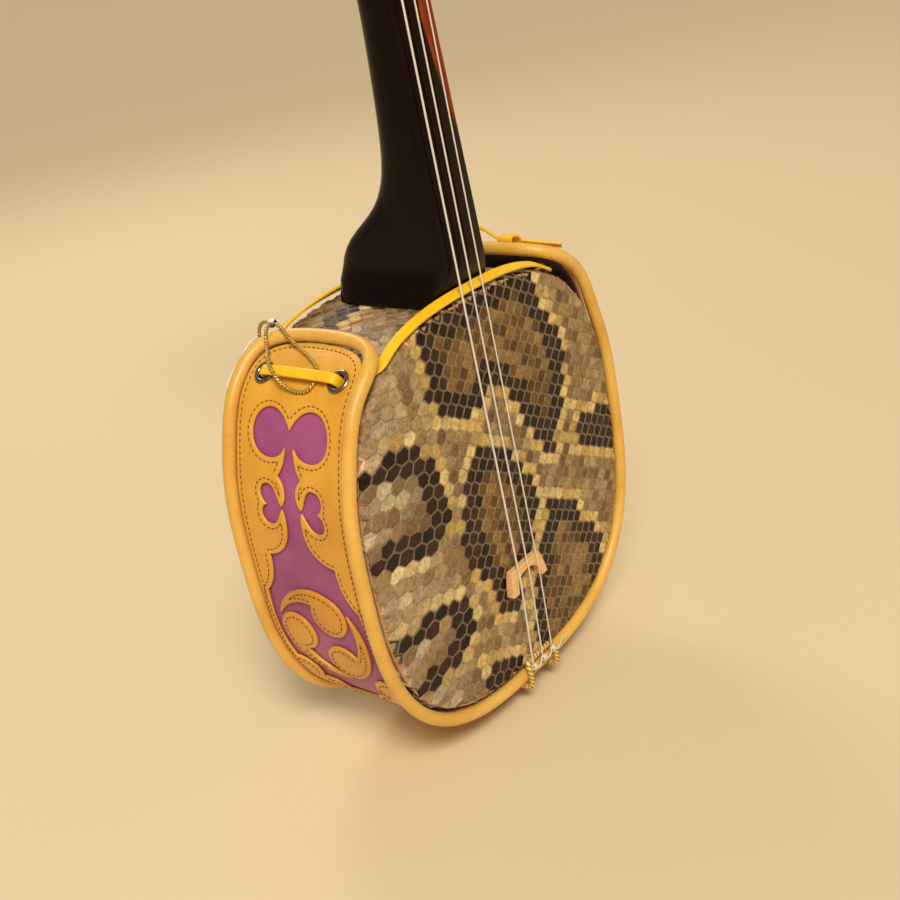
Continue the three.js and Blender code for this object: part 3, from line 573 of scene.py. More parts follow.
# how far past the eyelets, depth, and distance from the skin
tagCordRoute = [
    (19, 42.3, 3), (21.5, 41.6, 7), (22.5, 38.6, 9.6), (22.3, 34.6, 10.6), (21, 31.6, 11.4),
    (17.5, 29.6, 12), (14, 27.4, 11.8), (10, 24.6, 10.4), (6, 20.8, 10.9), (3.3, 17.6, 11.8),
    (0, 13.4, 12.1), (-2.4, 9.6, 12.1), (-4.8, 6, 10.4), (-6.2, 1.6, 8.4), (-6.6, -3.4, 7.5),
    (-5.8, -7.4, 7.5), (-2.8, -9.8, 7.5), (0.6, -10.2, 7.6), (3.4, -8.6, 7.6), (6.6, -4.4, 7.6),
    (10, 2.4, 7.6), (12.4, 8.4, 8.2), (15, 14.6, 10.4), (17.8, 20, 11.9), (20.2, 25.6, 11.6),
    (21.6, 29.2, 10.4),
]


def makeTagCord():
    points = [drumPoint(wrap["eyeletReach"] + past, y, offset) for past, y, offset in tagCordRoute]
    line = smoothLine(points, 0.5 * mm)
    piece = tube("tag_cord_twist", line, twisted(tagCord["radius"] * mm, tagCord["pitch"] * mm), 14, 70)
    paint(piece, goldCord)
    settle(piece, "root", "gold_cord", "tag_cord")
    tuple(points[0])


# A small metal clip holds the two strands together beside the end of the wrap.
tagClip = {"pastEyelets": 21.4, "depth": 30.4, "offset": 11}
tagClipProfile = [(0, -1.4), (1.7, -1.3), (2.1, -0.8), (2.2, 0), (2.1, 0.8), (1.7, 1.3), (0, 1.4)]


def makeTagClip():
    reach = wrap["eyeletReach"] + tagClip["pastEyelets"]
    origin = drumPoint(reach, tagClip["depth"], tagClip["offset"]) / mm
    piece = turned("tag_clip", tagClipProfile, origin, outwards(reach), 28)
    paint(piece, nickel)
    settle(piece, "root", "nickel")


makeTagCord()
makeTagClip()
print("camera and cord")


# The python skins

skinPattern = {
    "columnSpacing": 4.7,     # dorsal scales; those on the flank, to the left, are wider
    "flankSpacing": 8.6,
    "rowSpacing": 7,
    "span": 175,              # the flat skin reaches so far from its middle before it is folded
    "turn": math.radians(8),
    "cornerShare": 0.14,      # small makes the scales diamonds, 0.33 makes them hexagons
    "edgeRadius": 2.5,
    "relief": 0.55,
    "thickness": 0.7,
    "smallest": 9,            # square millimetres; slivers under this are left out
    "inset": 0.5,
    "rises": (0.26, 0.14),
    "darkRim": 11,
    "paleRim": 5.5,
}
blotches = [
    [(-40, 96), (-40, 66), (-31, 50), (-15, 41), (0, 53), (10, 48), (22, 28), (32, 8), (40, -1),
     (52, 14), (58, 36), (61, 54), (54, 68), (47, 82), (42, 98)],
    [(-12, 29), (-26, 16), (-35, -5), (-33, -26), (-23, -40), (-20, -55), (-6, -63), (3, -50),
     (12, -38), (21, -20), (22, -8), (12, 10), (0, 22)],
    [(-62, 52), (-44, 38), (-43, 8), (-56, -1), (-72, 0), (-120, 10), (-120, 52)],
    [(-57, -27), (-40, -42), (-39, -51), (-52, -62), (-120, -72), (-120, -32)],
    [(31, -21), (19, -43), (9, -62), (3, -84), (4, -120), (60, -120), (68, -76), (71, -61),
     (60, -48), (50, -31), (40, -24)],
    [(66, 12), (80, 7), (120, -4), (120, -24), (87, -20), (61, -3)],
    [(-37, -77), (-25, -79), (-10, -85), (-6, -120), (-40, -120)],
]
scaleColours = {
    "dark": ("#25140E", "#2E1A12", "#1D0F0A", "#372118"),
    "olive": ("#7C5B2F", "#6A4A24", "#8E6D3C", "#5C401F"),
    "pale": ("#D0AE68", "#C5A15B", "#D9BC7E"),
    "between": ("#8C6F45", "#9A7D54", "#775C3A", "#AC9166"),
    "flank": ("#B39A74", "#C4AC88", "#98795A", "#D8C4A0"),
    "seam": ("#9A8468",),
}


def distanceToSegment(point, start, end):
    line = end - start
    part = max(0, min(1, (point - start).dot(line) / line.length_squared))
    return (start + line * part - point).length


def blotchDistance(point):
    best = 1e9
    for corners in blotches:
        corners = [Vector(corner) for corner in corners]
        nearest = 1e9
        inside = False
        for a, b in zip(corners, corners[1:] + corners[:1]):
            nearest = min(nearest, distanceToSegment(point, a, b))
            if (a.y > point.y) != (b.y > point.y):
                if point.x < a.x + (point.y - a.y) / (b.y - a.y) * (b.x - a.x):
                    inside = not inside
        best = min(best, -nearest if inside else nearest)
    return best


def blendShades(first, second, part):
    return [lerp(a, b, part) for a, b in zip(first, second)]


def scaleShade(point, chance):
    distance = blotchDistance(point) + chance.uniform(-0.7, 0.7)
    if distance > skinPattern["paleRim"]:
        kind = "between"
    elif distance > 0:
        kind = "pale"
    elif distance > -skinPattern["darkRim"]:
        kind = "dark"
    else:
        kind = "olive"
    shade = colour(chance.choice(scaleColours[kind]))
    flank = smoothstep(-point.x, 38, 78)
    if kind != "dark":
        shade = blendShades(shade, colour(chance.choice(scaleColours["flank"])), 0.7 * flank)
    brightness = chance.uniform(0.82, 1.16)
    return [part * brightness for part in shade[:3]] + [1]


# Folds a flat skin over the drum: face, rounded edge, then down the side.
def foldSkin(x, up, side, sink):
    wide = drum["halfWidth"] - sink
    tall = drum["halfHeight"] - sink
    deep = drum["back"] - sink
    power = drum["squareness"]
    share = ((abs(x) / wide) ** power + (abs(up) / tall) ** power) ** (1 / power)
    far = math.hypot(x, up)
    if share < 1e-6:
        return Vector((x, side * deep, up + drum["centre"])) * mm
    rim = far / share
    edge = skinPattern["edgeRadius"]
    past = far - (rim - edge)
    if past <= 0:
        radial, depth = far, deep
    elif past < edge * math.pi / 2:
        radial = rim - edge + edge * math.sin(past / edge)
        depth = deep - edge + edge * math.cos(past / edge)
    else:
        radial = rim
        depth = max(deep - edge - (past - edge * math.pi / 2), 0.6)
    return Vector((x / far * radial, side * depth, up / far * radial + drum["centre"])) * mm


def skinColumns():
    across = -skinPattern["span"]
    columns = []
    while across < skinPattern["span"]:
        columns.append(across)
        across += lerp(skinPattern["columnSpacing"], skinPattern["flankSpacing"],
                       smoothstep(-across, 12, 85))
    return columns


def makeSkin(name, side):
    chance = random.Random(7 if side < 0 else 11)
    columns = skinColumns()
    pitch = skinPattern["rowSpacing"]
    sheet = bmesh.new()
    shadeLayer = sheet.faces.layers.float_color.new("scaleColour")
    corners = {}
    sink = skinPattern["relief"] + 0.05

    def tilted(x, up):
        at = Vector((x, up))
        at.rotate(Matrix.Rotation(skinPattern["turn"], 2))
        return at

    # the corner where two columns of scales meet, shared by the scales round it
    def corner(gap, half):
        if (gap, half) not in corners:
            share = lerp(skinPattern["cornerShare"], 0.33, smoothstep(-columns[gap], 5, 55))
            towards = share if (gap + half) % 2 else 1 - share
            at = tilted(lerp(columns[gap], columns[gap + 1], towards), half * pitch / 2)
            ragged = lerp(0.25, 0.8, smoothstep(-at.x, 20, 80))
            at.x += chance.uniform(-ragged, ragged)
            at.y += chance.uniform(-ragged, ragged)
            corners[gap, half] = sheet.verts.new(foldSkin(at.x, at.y, side, sink))
        return corners[gap, half]

    rows = round(skinPattern["span"] / pitch)
    for column in range(1, len(columns) - 1):
        for row in range(-rows, rows + 1):
            middle = 2 * row + column % 2
            centre = tilted(columns[column], middle * pitch / 2)
            folded = foldSkin(centre.x, centre.y, side, sink)
            atEnd = abs(folded.y) < 1.2 * mm
            atNeck = abs(folded.x) < 12 * mm and abs(folded.y) < 15 * mm
            if atEnd or atNeck:
                continue
            steps = ((0, -1), (0, 0), (0, 1), (-1, 1), (-1, 0), (-1, -1))
            face = sheet.faces.new([corner(column + gap, middle + half) for gap, half in steps])
            if face.calc_area() < skinPattern["smallest"] * mm * mm:
                sheet.faces.remove(face)
                continue
            patternPoint = centre if side < 0 else Vector((-centre.x, -centre.y))
            face[shadeLayer] = scaleShade(patternPoint, chance)
    sheet.normal_update()
    mesh = bpy.data.meshes.new(name)
    sheet.to_mesh(mesh)
    sheet.free()
    piece = linked(name, mesh)
    pick(piece)
    bpy.ops.object.mode_set(mode="EDIT")
    bpy.ops.mesh.select_all(action="SELECT")
    bpy.ops.mesh.delete_loose()
    bpy.ops.object.mode_set(mode="OBJECT")
    faceOutwards(piece)
    onFace = [polygon for polygon in mesh.polygons if abs(polygon.center.x) < 40 * mm
              and abs(polygon.center.z - drum["centre"] * mm) < 40 * mm]
    if sum(polygon.normal.y for polygon in onFace) * side < 0:
        mesh.flip_normals()
    applyModifier(piece, "SOLIDIFY", thickness=skinPattern["thickness"] * mm, offset=-1)
    raiseScales(piece, chance)
    pullSpikes(mesh)
    paint(piece, snake)
    for polygon in mesh.polygons:
        polygon.use_smooth = False
    settle(piece, "root", "python_skin", "front_skin" if side < 0 else "back_skin")


# A spike on a folded-over scale at the skin's edge is brought back to the drum.
def pullSpikes(mesh):
    limit = (drum["halfWidth"] + 3) * mm
    for vertex in mesh.vertices:
        across = Vector((vertex.co.x, 0, vertex.co.z - drum["centre"] * mm))
        if across.length > 1.2 * limit:
            vertex.co -= across * (1 - limit / across.length)


# Each scale on the outside is inset, raised, and tipped so that its lower edge stands proud.
def raiseScales(piece, chance):
    middle = Vector((0, 0, drum["centre"] * mm))
    mesh = piece.data
    pick(piece)
    bpy.ops.object.mode_set(mode="EDIT")
    bpy.ops.mesh.select_all(action="DESELECT")
    bpy.ops.object.mode_set(mode="OBJECT")
    for polygon in mesh.polygons:
        outward = polygon.normal.dot(polygon.center - middle) > 0
        polygon.select = outward and len(polygon.vertices) == 6
    bpy.ops.object.mode_set(mode="EDIT")
    bpy.ops.mesh.select_mode(type="FACE")
    for rise in skinPattern["rises"]:
        bpy.ops.mesh.inset(thickness=skinPattern["inset"] * mm, depth=rise * mm, use_individual=True)
    bpy.ops.object.mode_set(mode="OBJECT")
    seam = colour(scaleColours["seam"][0])
    shades = mesh.attributes["scaleColour"].data
    tops = [polygon for polygon in mesh.polygons if polygon.select]
    for polygon in tops:
        tip = chance.uniform(0.2, 0.9)
        lowest = min(mesh.vertices[i].co.z for i in polygon.vertices)
        highest = max(mesh.vertices[i].co.z for i in polygon.vertices)
        if highest - lowest < 1e-5:
            continue
        for i in polygon.vertices:
            part = (highest - mesh.vertices[i].co.z) / (highest - lowest)
            mesh.vertices[i].co += polygon.normal * (part - 0.7) * tip * 0.5 * mm
    topVertices = {i for polygon in tops for i in polygon.vertices}
    for polygon in mesh.polygons:
        if len(polygon.vertices) == 4 and not any(i in topVertices for i in polygon.vertices):
            own = shades[polygon.index].color
            shades[polygon.index].color = blendShades(own, seam, 0.55)


makeSkin("front_skin_scales", -1)
makeSkin("back_skin_scales", 1)
print("skins")


# Flat patterns in leather

# A path is a start point followed by stretches: 2 numbers for a straight one, 4 or 6 for a curve.
def walk(path, steps):
    points = [Vector(path[0])]
    for stretch in path[1:]:
        start = points[-1]
        handles = [Vector(stretch[i:i + 2]) for i in range(0, len(stretch), 2)]
        for i in range(1, steps + 1):
            t = i / steps
            left = 1 - t
            if len(handles) == 1:
                points.append(start.lerp(handles[0], t))
            elif len(handles) == 2:
                points.append(start * left ** 2 + handles[0] * 2 * left * t + handles[1] * t ** 2)
            else:
                points.append(start * left ** 3 + handles[0] * 3 * left ** 2 * t
                              + handles[1] * 3 * left * t ** 2 + handles[2] * t ** 3)
    return points


# Half of the cut-out: two round lobes, a stem with curls and a heart, a flared skirt round the
# whirl, and scallops towards the bottom of the drum. Points are (across, reach), drawn for a wrap
# that is panelDrawn["reach"] long from the bottom to its end.
panelDrawn = {"centre": 135, "reach": 282}
panelHalf = [
    (0, 238), (2.5, 243, 7, 247, 12, 247), (19, 247, 22.5, 241, 22.5, 235.5),
    (22.5, 229, 18, 225, 12.5, 225), (8, 225, 4.5, 226.5, 2.6, 230.5), (2.8, 222, 7, 217),
    (3.2, 214, 3.6, 208), (3.9, 205, 6, 203), (8.5, 206, 8.5, 213, 13.5, 213),
    (19, 213, 20.5, 206, 15.5, 202.8), (21, 200.5, 19.5, 193.5, 14.5, 193.5),
    (9.5, 193.5, 8.5, 199, 6, 201.6), (4.6, 199, 5, 193), (5.5, 185, 10, 178.5, 20, 177),
    (19.8, 168, 22.5, 160, 28, 156), (31, 135, 28, 114), (17.5, 115, 15.5, 104, 21, 97.5),
    (10, 100, 9, 90, 13, 84), (6, 82, 0, 74),
]
whirl = {
    "centre": 0.491 * wrap["reach"],
    "radius": 26,
    "head": 10.4,
    "headAt": 15.6,
    "firstAt": 60,     # degrees
    "sweep": 102,
    "join": 95,
}


def panelOutline():
    longer = wrap["reach"] / panelDrawn["reach"]
    right = [Vector((point.x, whirl["centre"] + (point.y - panelDrawn["centre"]) * longer))
             for point in walk(panelHalf, 12)]
    left = [Vector((-point.x, point.y)) for point in reversed(right[1:-1])]
    return right + left


def whirlPoint(radius, turn):
    return Vector((radius * math.cos(turn), whirl["centre"] + radius * math.sin(turn)))


# One of the three commas of the whirl: a round head and a tail that runs round the rim.
def commaOutline(index):
    start = math.radians(whirl["firstAt"] + 120 * index)
    sweep = math.radians(whirl["sweep"])
    join = math.radians(whirl["join"])
    joinX = whirl["headAt"] + whirl["head"] * math.cos(join)
    joinY = whirl["head"] * math.sin(join)
    joinTurn = math.atan2(joinY, joinX)
    joinRadius = math.hypot(joinX, joinY)
    points = [whirlPoint(whirl["radius"], start + sweep * i / 24) for i in range(25)]
    for i in range(1, 16):
        back = i / 16
        radius = whirl["radius"] - (whirl["radius"] - joinRadius) * back ** 0.75
        points.append(whirlPoint(radius, start + sweep + back * (joinTurn - sweep)))
    for i in range(36):
        turn = join + (fullTurn - join) * i / 36
        x = whirl["headAt"] + whirl["head"] * math.cos(turn)
        y = whirl["head"] * math.sin(turn)
        points.append(whirlPoint(math.hypot(x, y), start + math.atan2(y, x)))
    return points


# Half of the wrap's rounded end, from its side to its tip.
def endHalf(margin):
    half = wrap["width"] / 2 + margin
    top = wrap["reach"] + margin
    return walk([(half, top - 20), (half, top - 5, half * 0.72, top, 0, top)], 24)


def faceOutline():
    right = endHalf(0)
    left = [Vector((-point.x, point.y)) for point in reversed(right[:-1])]
    top = right + left
    bottom = [Vector((-point.x, -point.y)) for point in top]
    return top + bottom


# Cuts a flat pattern in sheet leather with rounded edges, slices it and bends it round the drum.
def leatherPiece(name, outlines, inner, outer, bevel=0.6, mirrored=False):
    thickness = outer - inner
    piece = flatPattern(name, outlines, thickness, bevel, 3)
    flat = bmesh.new()
    flat.from_mesh(piece.data)
    bmesh.ops.remove_doubles(flat, verts=flat.verts, dist=0.002)
    low = min(vertex.co.y for vertex in flat.verts)
    high = max(vertex.co.y for vertex in flat.verts)
    spacing = 3
    for i in range(1, int((high - low) / spacing)):
        everything = flat.verts[:] + flat.edges[:] + flat.faces[:]
        cut = (0, low + i * spacing, 0)
        bmesh.ops.bisect_plane(flat, geom=everything, plane_co=cut, plane_no=(0, 1, 0))
    bmesh.ops.recalc_face_normals(flat, faces=flat.faces)
    for face in flat.faces:
        face.material_index = 0 if abs(face.normal.z) > 0.97 else 1
    for vertex in flat.verts:
        reach = -vertex.co.y if mirrored else vertex.co.y
        vertex.co = wrapPoint(reach, -vertex.co.x, inner + thickness / 2 + vertex.co.z)
    bmesh.ops.recalc_face_normals(flat, faces=flat.faces)
    flat.to_mesh(piece.data)
    flat.free()
    smooth(piece, 40)
    return piece


def circleOutline(x, y, radius, count=28):
    turns = [fullTurn * i / count for i in range(count)]
    return [Vector((x + radius * math.cos(turn), y + radius * math.sin(turn))) for turn in turns]


def eyeletPlaces():
    half = wrap["eyeletSpacing"] / 2
    return [(reach, y) for reach in (wrap["eyeletReach"], -wrap["eyeletReach"]) for y in (-half, half)]


def makeWrap():
    mirroredPanel = [Vector((point.x, -point.y)) for point in panelOutline()]
    holes = [circleOutline(-y, reach, wrap["eyeletHole"] + 0.6) for reach, y in eyeletPlaces()]
    face = leatherPiece("wrap_face_leather", [faceOutline(), panelOutline(), mirroredPanel, *holes],
                        wrap["faceInner"], wrap["faceOuter"])
    paint(face, tan, cutEdge)
    settle(face, "root", "tan_leather", "wrap_face")
    lining = leatherPiece("wrap_lining_leather", [faceOutline(), *holes],
                          wrap["liningInner"], wrap["liningOuter"], bevel=0.2)
    paint(lining, purple, shadedUnderside)
    # faces turned towards the drum get the near-black painted shade of the undersides of the lifted ends
    for polygon in lining.data.polygons:
        away = polygon.center - Vector((0, polygon.center.y, drum["centre"] * mm))
        polygon.material_index = 1 if polygon.normal.dot(away) < 0 else 0
    settle(lining, "root", "purple_leather", "wrap_lining")
    for side, mirrored in (("left", False), ("right", True)):
        for index in range(3):
            comma = leatherPiece(f"comma_{side}_{index + 1}_leather", [commaOutline(index)],
                                 wrap["faceInner"], wrap["faceOuter"], mirrored=mirrored)
            paint(comma, darkTan, cutEdge)
            settle(comma, "root", "tan_leather", f"comma_{side}_{index + 1}")


makeWrap()
print("wrap")

wrap["rollOffset"] = wrap["rollRadius"] + 0.5
wrap["rollMargin"] = wrap["rollRadius"] + 0.4


def makeRoll(side, name):
    margin = wrap["rollMargin"]
    tip = list(reversed(endHalf(margin)))
    tip[0] = Vector((-0.3, tip[0].y))
    straight = tip[-1].y
    along = [Vector((wrap["width"] / 2 + margin, straight * (1 - 2 * i / 120))) for i in range(1, 120)]
    far = [Vector((point.x, -point.y)) for point in reversed(tip)]
    flat = tip + along + far
    line = evenly([wrapPoint(point.y, side * point.x, wrap["rollOffset"]) for point in flat], 2.2 * mm)
    piece = tube(name + "_leather", line, wrap["rollRadius"] * mm, 20, 50)
    paint(piece, rolledTan)
    settle(piece, "root", "rim_leather", name)


makeRoll(-1, "front_roll")
makeRoll(1, "rear_roll")

stitching = {"pitch": 2.7, "length": 2.0, "radius": 0.3, "fromCut": 2.3, "fromEdge": 2.6}


# Places for stitches along a line beside an outline, leaving out those that fall too near it.
def stitchesBeside(outline, distance):
    closed = outline + outline[:1]
    fine = evenly([Vector((point.x, point.y, 0)) for point in closed], 0.4)
    area = sum(a.x * b.y - b.x * a.y for a, b in zip(fine, fine[1:]))
    beside = []
    for before, point, after in zip([fine[-2]] + fine[:-1], fine, fine[1:] + [fine[1]]):
        along = (after - before).normalized()
        outward = Vector((along.y, -along.x, 0)) * math.copysign(1, area)
        moved = point + outward * distance
        if min((moved - other).length for other in fine) > abs(distance) * 0.93:
            beside.append(moved)
    runs = [[beside[0]]]
    for a, b in zip(beside, beside[1:]):
        if (b - a).length > 1.5:
            runs.append([])
        runs[-1].append(b)
    places = []
    for run in runs:
        if len(run) < 6:
            continue
        spaced = evenly(run, stitching["pitch"])
        places += [(a.lerp(b, 0.5), (b - a).normalized()) for a, b in zip(spaced, spaced[1:])]
    return places


def stitchShape():
    deselectAll()
    bpy.ops.mesh.primitive_uv_sphere_add(segments=6, ring_count=5, radius=1)
    shape = bpy.context.object
    points = [Vector((vertex.co.z * stitching["length"] / 2, vertex.co.x * stitching["radius"],
                      vertex.co.y * stitching["radius"])) for vertex in shape.data.vertices]
    faces = [list(polygon.vertices) for polygon in shape.data.polygons]
    bpy.data.objects.remove(shape)
    return points, faces


def makeStitches(name, places, offset):
    shape, shapeFaces = stitchShape()
    points = []
    faces = []
    for place, along in places:
        middle = wrapPoint(place.y, -place.x, offset)
        further = place + along * 0.5
        ahead = (wrapPoint(further.y, -further.x, offset) - middle).normalized()
        outward = (wrapPoint(place.y, -place.x, offset + 1) - middle).normalized()
        sideways = outward.cross(ahead)
        first = len(points)
        points += [middle + (ahead * p.x + sideways * p.y + outward * p.z) * mm for p in shape]
        faces += [[first + i for i in face] for face in shapeFaces]
    mesh = bpy.data.meshes.new(name)
    mesh.from_pydata(points, [], faces)
    piece = linked(name, mesh)
    faceOutwards(piece)
    smooth(piece, 70)
    paint(piece, stitchThread)
    settle(piece, "root", "tan_leather")


def otherSide(places):
    return [(Vector((at.x, -at.y, 0)), Vector((along.x, -along.y, 0))) for at, along in places]


def makeStitching():
    offset = wrap["faceOuter"] + 0.05
    inner = stitchesBeside(panelOutline(), stitching["fromCut"])
    for index in range(3):
        inner += stitchesBeside(commaOutline(index), -stitching["fromCut"])
    edge = stitchesBeside(faceOutline(), -stitching["fromEdge"])
    makeStitches("stitches_left", inner, offset)
    makeStitches("stitches_right", otherSide(inner), offset)
    makeStitches("stitches_edge", edge, offset)


makeStitching()
print("rolls and stitches")


# Eyelets and lace

lace = {"width": 4.8, "thickness": 1.6, "tilt": 38, "tiltRise": 1.1}


def makeEyelet(index, reach, y):
    hole = wrap["eyeletHole"]
    low = -2.7
    rise = wrap["eyeletRise"]
    profile = [(hole, low), (hole + 0.5, low), (hole + 0.5, 0.35), (4.9, 0.3), (5.35, 0.5), (5.4, 0.75),
               (5.1, 1.05), (4.5, rise), (3.9, 1.15), (3.4, 0.85), (hole, 0.35), (hole, low)]
    origin = wrapPoint(reach, y, wrap["faceOuter"]) / mm
    piece = turned(f"eyelet_{index + 1}_ring", profile, origin, outwards(reach), 48, 50)
    paint(piece, nickel)
    settle(piece, "root", "nickel", f"eyelet_{index + 1}")


for index, (reach, y) in enumerate(eyeletPlaces()):
    makeEyelet(index, reach, y)


# A flat strap with soft edges: each station is a point and the direction of its width.
def strap(name, stations, step=1.0, width=lace["width"], thickness=lace["thickness"]):
    line = smoothLine([at for at, across in stations], step * mm)
    widths = smoothLine([across.normalized() for at, across in stations], 0.01)
    rows = len(line) - 1

    def place(u, v):
        at = round(v * rows)
        ahead = (line[min(at + 1, rows)] - line[max(at - 1, 0)]).normalized()
        wide = widths[round(v * (len(widths) - 1))]
        wide = (wide - ahead * wide.dot(ahead)).normalized()
        thick = ahead.cross(wide)
        turn = u * fullTurn
        x = math.copysign(abs(math.cos(turn)) ** 0.35, math.cos(turn)) * width / 2 * mm
        y = math.copysign(abs(math.sin(turn)) ** 0.55, math.sin(turn)) * thickness / 2 * mm
        return line[at] + wide * x + thick * y

    piece = formed(name, 20, rows, place, angle=45)
    paint(piece, yellow)
    return piece


# The lace between the wrap's ends lies along the drum's edge, tipped a little over it.
def makeLaceRun(side, node):
    under = lace["thickness"] / 2 + 0.55
    end = wrap["eyeletReach"] + 1
    edge = drum["back"] - 3
    stations = []
    for i in range(61):
        inwards = abs(i / 30 - 1)
        reach = lerp(end, 2 * halfRound - end, i / 60)
        y = side * lerp(edge, wrap["eyeletSpacing"] / 2, smoothstep(inwards, 0.84, 1))
        tilted = 1 - smoothstep(inwards, 0.66, 0.86)
        tilt = math.radians(lace["tilt"] * tilted)
        across = Vector((0, side * math.cos(tilt), 0)) - outwards(reach) * math.sin(tilt)
        stations.append((drumPoint(reach, y, under + lace["tiltRise"] * tilted), across))
    settle(strap(node + "_leather", stations, 2), "root", "yellow_leather", node)


makeLaceRun(-1, "lace_front_run")
makeLaceRun(1, "lace_rear_run")


# The short stretch between two eyelets bows out a little.
def makeLaceBridge(sign, node):
    reach = sign * wrap["eyeletReach"]
    above = wrap["faceOuter"] + wrap["eyeletRise"] + lace["thickness"] / 2 + 1.2
    below = -0.8
    half = wrap["eyeletSpacing"] / 2
    rear = [(half * 0.4, above + 0.6), (half - 2.4, above), (half - 0.4, above - 1.6), (half, below)]
    bow = [(-y, offset) for y, offset in reversed(rear)] + rear
    stations = [(wrapPoint(reach, y, offset), alongWrap(reach)) for y, offset in bow]
    settle(strap(node + "_leather", stations, 0.8), "root", "yellow_leather", node)


makeLaceBridge(1, "lace_left")
makeLaceBridge(-1, "lace_right")

knotOffset = wrap["faceOuter"] + wrap["eyeletRise"] + lace["thickness"] + 6.4


# The lace's knot is a flat turn and a half round itself.
def makeLaceKnot():
    reach = -wrap["eyeletReach"]
    middle = wrapPoint(reach, 0, knotOffset)
    up = alongWrap(reach)
    stations = []
    for i in range(25):
        turn = fullTurn * 1.6 * i / 24
        y = lerp(-3.4, 3.4, i / 24)
        flattened = 3.9 * (1 + 0.12 * math.cos(turn * 2))
        off = Vector((0, y, 0)) + up * math.cos(turn) * flattened + outwards(reach) * math.sin(turn) * 2.6
        stations.append((middle + off * mm, Vector((0, 1, 0)) + up * 0.2 * math.sin(turn)))
    settle(strap("lace_knot_leather", stations, 0.7, 4.2, 1.5), "root", "yellow_leather", "lace_knot")


# The front end drops towards the drum's face and the rear one rises.
def makeLaceEnd(side, node):
    reach = -wrap["eyeletReach"]
    front = [(0, 6.6, 0.2), (2, 12, 0.6), (4, 18, 1.2), (6.5, 25, 2.4)]
    rear = [(0, 6.6, 0.2), (-2, 12, 2.8), (-4, 18, 5.2), (-7, 26, 6)]
    route = front if side < 0 else rear
    stations = [(wrapPoint(reach + up, side * y, knotOffset + out), alongWrap(reach))
                for up, y, out in route]
    settle(strap(node + "_leather", stations, 1), "root", "yellow_leather", node)


makeLaceKnot()
makeLaceEnd(-1, "lace_end_front")
makeLaceEnd(1, "lace_end_rear")
print("lace")


# Neck and pegs

neck = {
    "drumTop": drum["centre"] + drum["halfHeight"],
    "length": 426,
    "boardSetBack": 1.5,
    "lean": 0.0323,
    "headStraight": 24,
    "headSetBack": 2.2,
    "headSlope": 0.1364,
    "firstPeg": 36,
    "pegDepth": 12.6,
    "pegSpacing": 21,
    "slotStart": 12,
    "slotLength": 78,
    "slotWidth": 10,
    "chamfer": 1.2,
    "coreWidth": 18,
    "coreDepth": 24,
}
nutHeight = neck["drumTop"] + neck["length"]
# height above the drum, half width, set back, thickness, squareness of the back
heelLevels = [
    (0, 21.5, 5, 61, 5), (4, 19.7, 4.1, 61.5, 5), (9, 18.2, 1.6, 64, 4.8), (16, 16.7, 0, 63, 4.4),
    (24, 16.4, 0, 58.5, 4), (31, 16.3, 0, 51, 3.6), (38, 16.1, 0, 42, 3.2), (46, 15.9, 0, 34.5, 2.9),
    (56, 15.6, 0, 29.4, 2.7), (68, 15.3, 0, 26.6, 2.6), (90, 14.8, 0, 24.2, 2.5),
    (125, 13.9, 0, 22.4, 2.4), (250, 13, 0, 20.6, 2.4), (422, 11.9, 0, 19.4, 2.4),
]
# height above the nut, then the same
headLevels = [
    (4, 12.1, 0.3, 20, 2.6), (14, 13.6, 1.2, 23.5, 3.2), (24, 14.4, 2.2, 25.5, 3.6),
    (90, 15, 11.2, 25, 3.6), (104, 16.6, 14.6, 21.5, 3.4), (118, 19.6, 20, 18, 3.2),
    (132, 21.6, 26.4, 15.5, 3), (142, 21, 31.2, 13.6, 3), (148, 18, 34, 12, 3),
    (152, 13, 36, 10.6, 3), (154, 8, 37, 9.6, 3),
]


def fingerboardY(z):
    return drum["front"] + neck["boardSetBack"] + (z - neck["drumTop"]) * neck["lean"]


def neckLevels():
    levels = [(neck["drumTop"] + max(up, 0.3), *rest) for up, *rest in heelLevels]
    levels += [(nutHeight + up, *rest) for up, *rest in headLevels]
    return levels


def levelAt(levels, z):
    for i in range(len(levels) - 1):
        if z <= levels[i + 1][0]:
            break
    a, b = levels[i], levels[i + 1]
    before = levels[max(i - 1, 0)]
    after = levels[min(i + 2, len(levels) - 1)]
    span = b[0] - a[0]
    t = (z - a[0]) / span
    values = []
    for k in range(1, 5):
        slopeA = slopeBetween(before, a, b, k) * span
        slopeB = slopeBetween(a, b, after, k) * span
        values.append((2 * t ** 3 - 3 * t ** 2 + 1) * a[k] + (t ** 3 - 2 * t ** 2 + t) * slopeA
                      + (3 * t ** 2 - 2 * t ** 3) * b[k] + (t ** 3 - t ** 2) * slopeB)
    return values


# The slope at the middle one of three levels, flat where it is a turning point.
def slopeBetween(first, middle, last, k):
    below = (middle[k] - first[k]) / (middle[0] - first[0]) if middle[0] > first[0] else 0
    above = (last[k] - middle[k]) / (last[0] - middle[0]) if last[0] > middle[0] else 0
    if below * above <= 0:
        return 0
    return 2 * below * above / (below + above)


# One point of the neck's section, and how many points it has: a flat front, a rounded back.
def neckRing(halfWidth, front, back, square, u):
    soft = 0.45
    chamfer = neck["chamfer"]
    shoulder = front + 0.3 * (back - front)
    points = [(halfWidth, front + chamfer)]
    for i in range(41):
        angle = math.pi * i / 40
        cosine = math.cos(angle)
        points.append((halfWidth * math.copysign(abs(cosine) ** (2 / square), cosine),
                       shoulder + (back - shoulder) * math.sin(angle) ** (2 / square)))
    points += [(-halfWidth, front + chamfer), (-halfWidth + chamfer - soft, front + soft * 0.4),
               (-halfWidth + chamfer, front), (0, front), (halfWidth - chamfer, front),
               (halfWidth - chamfer + soft, front + soft * 0.4)]
    return points[round(u * len(points)) % len(points)], len(points)


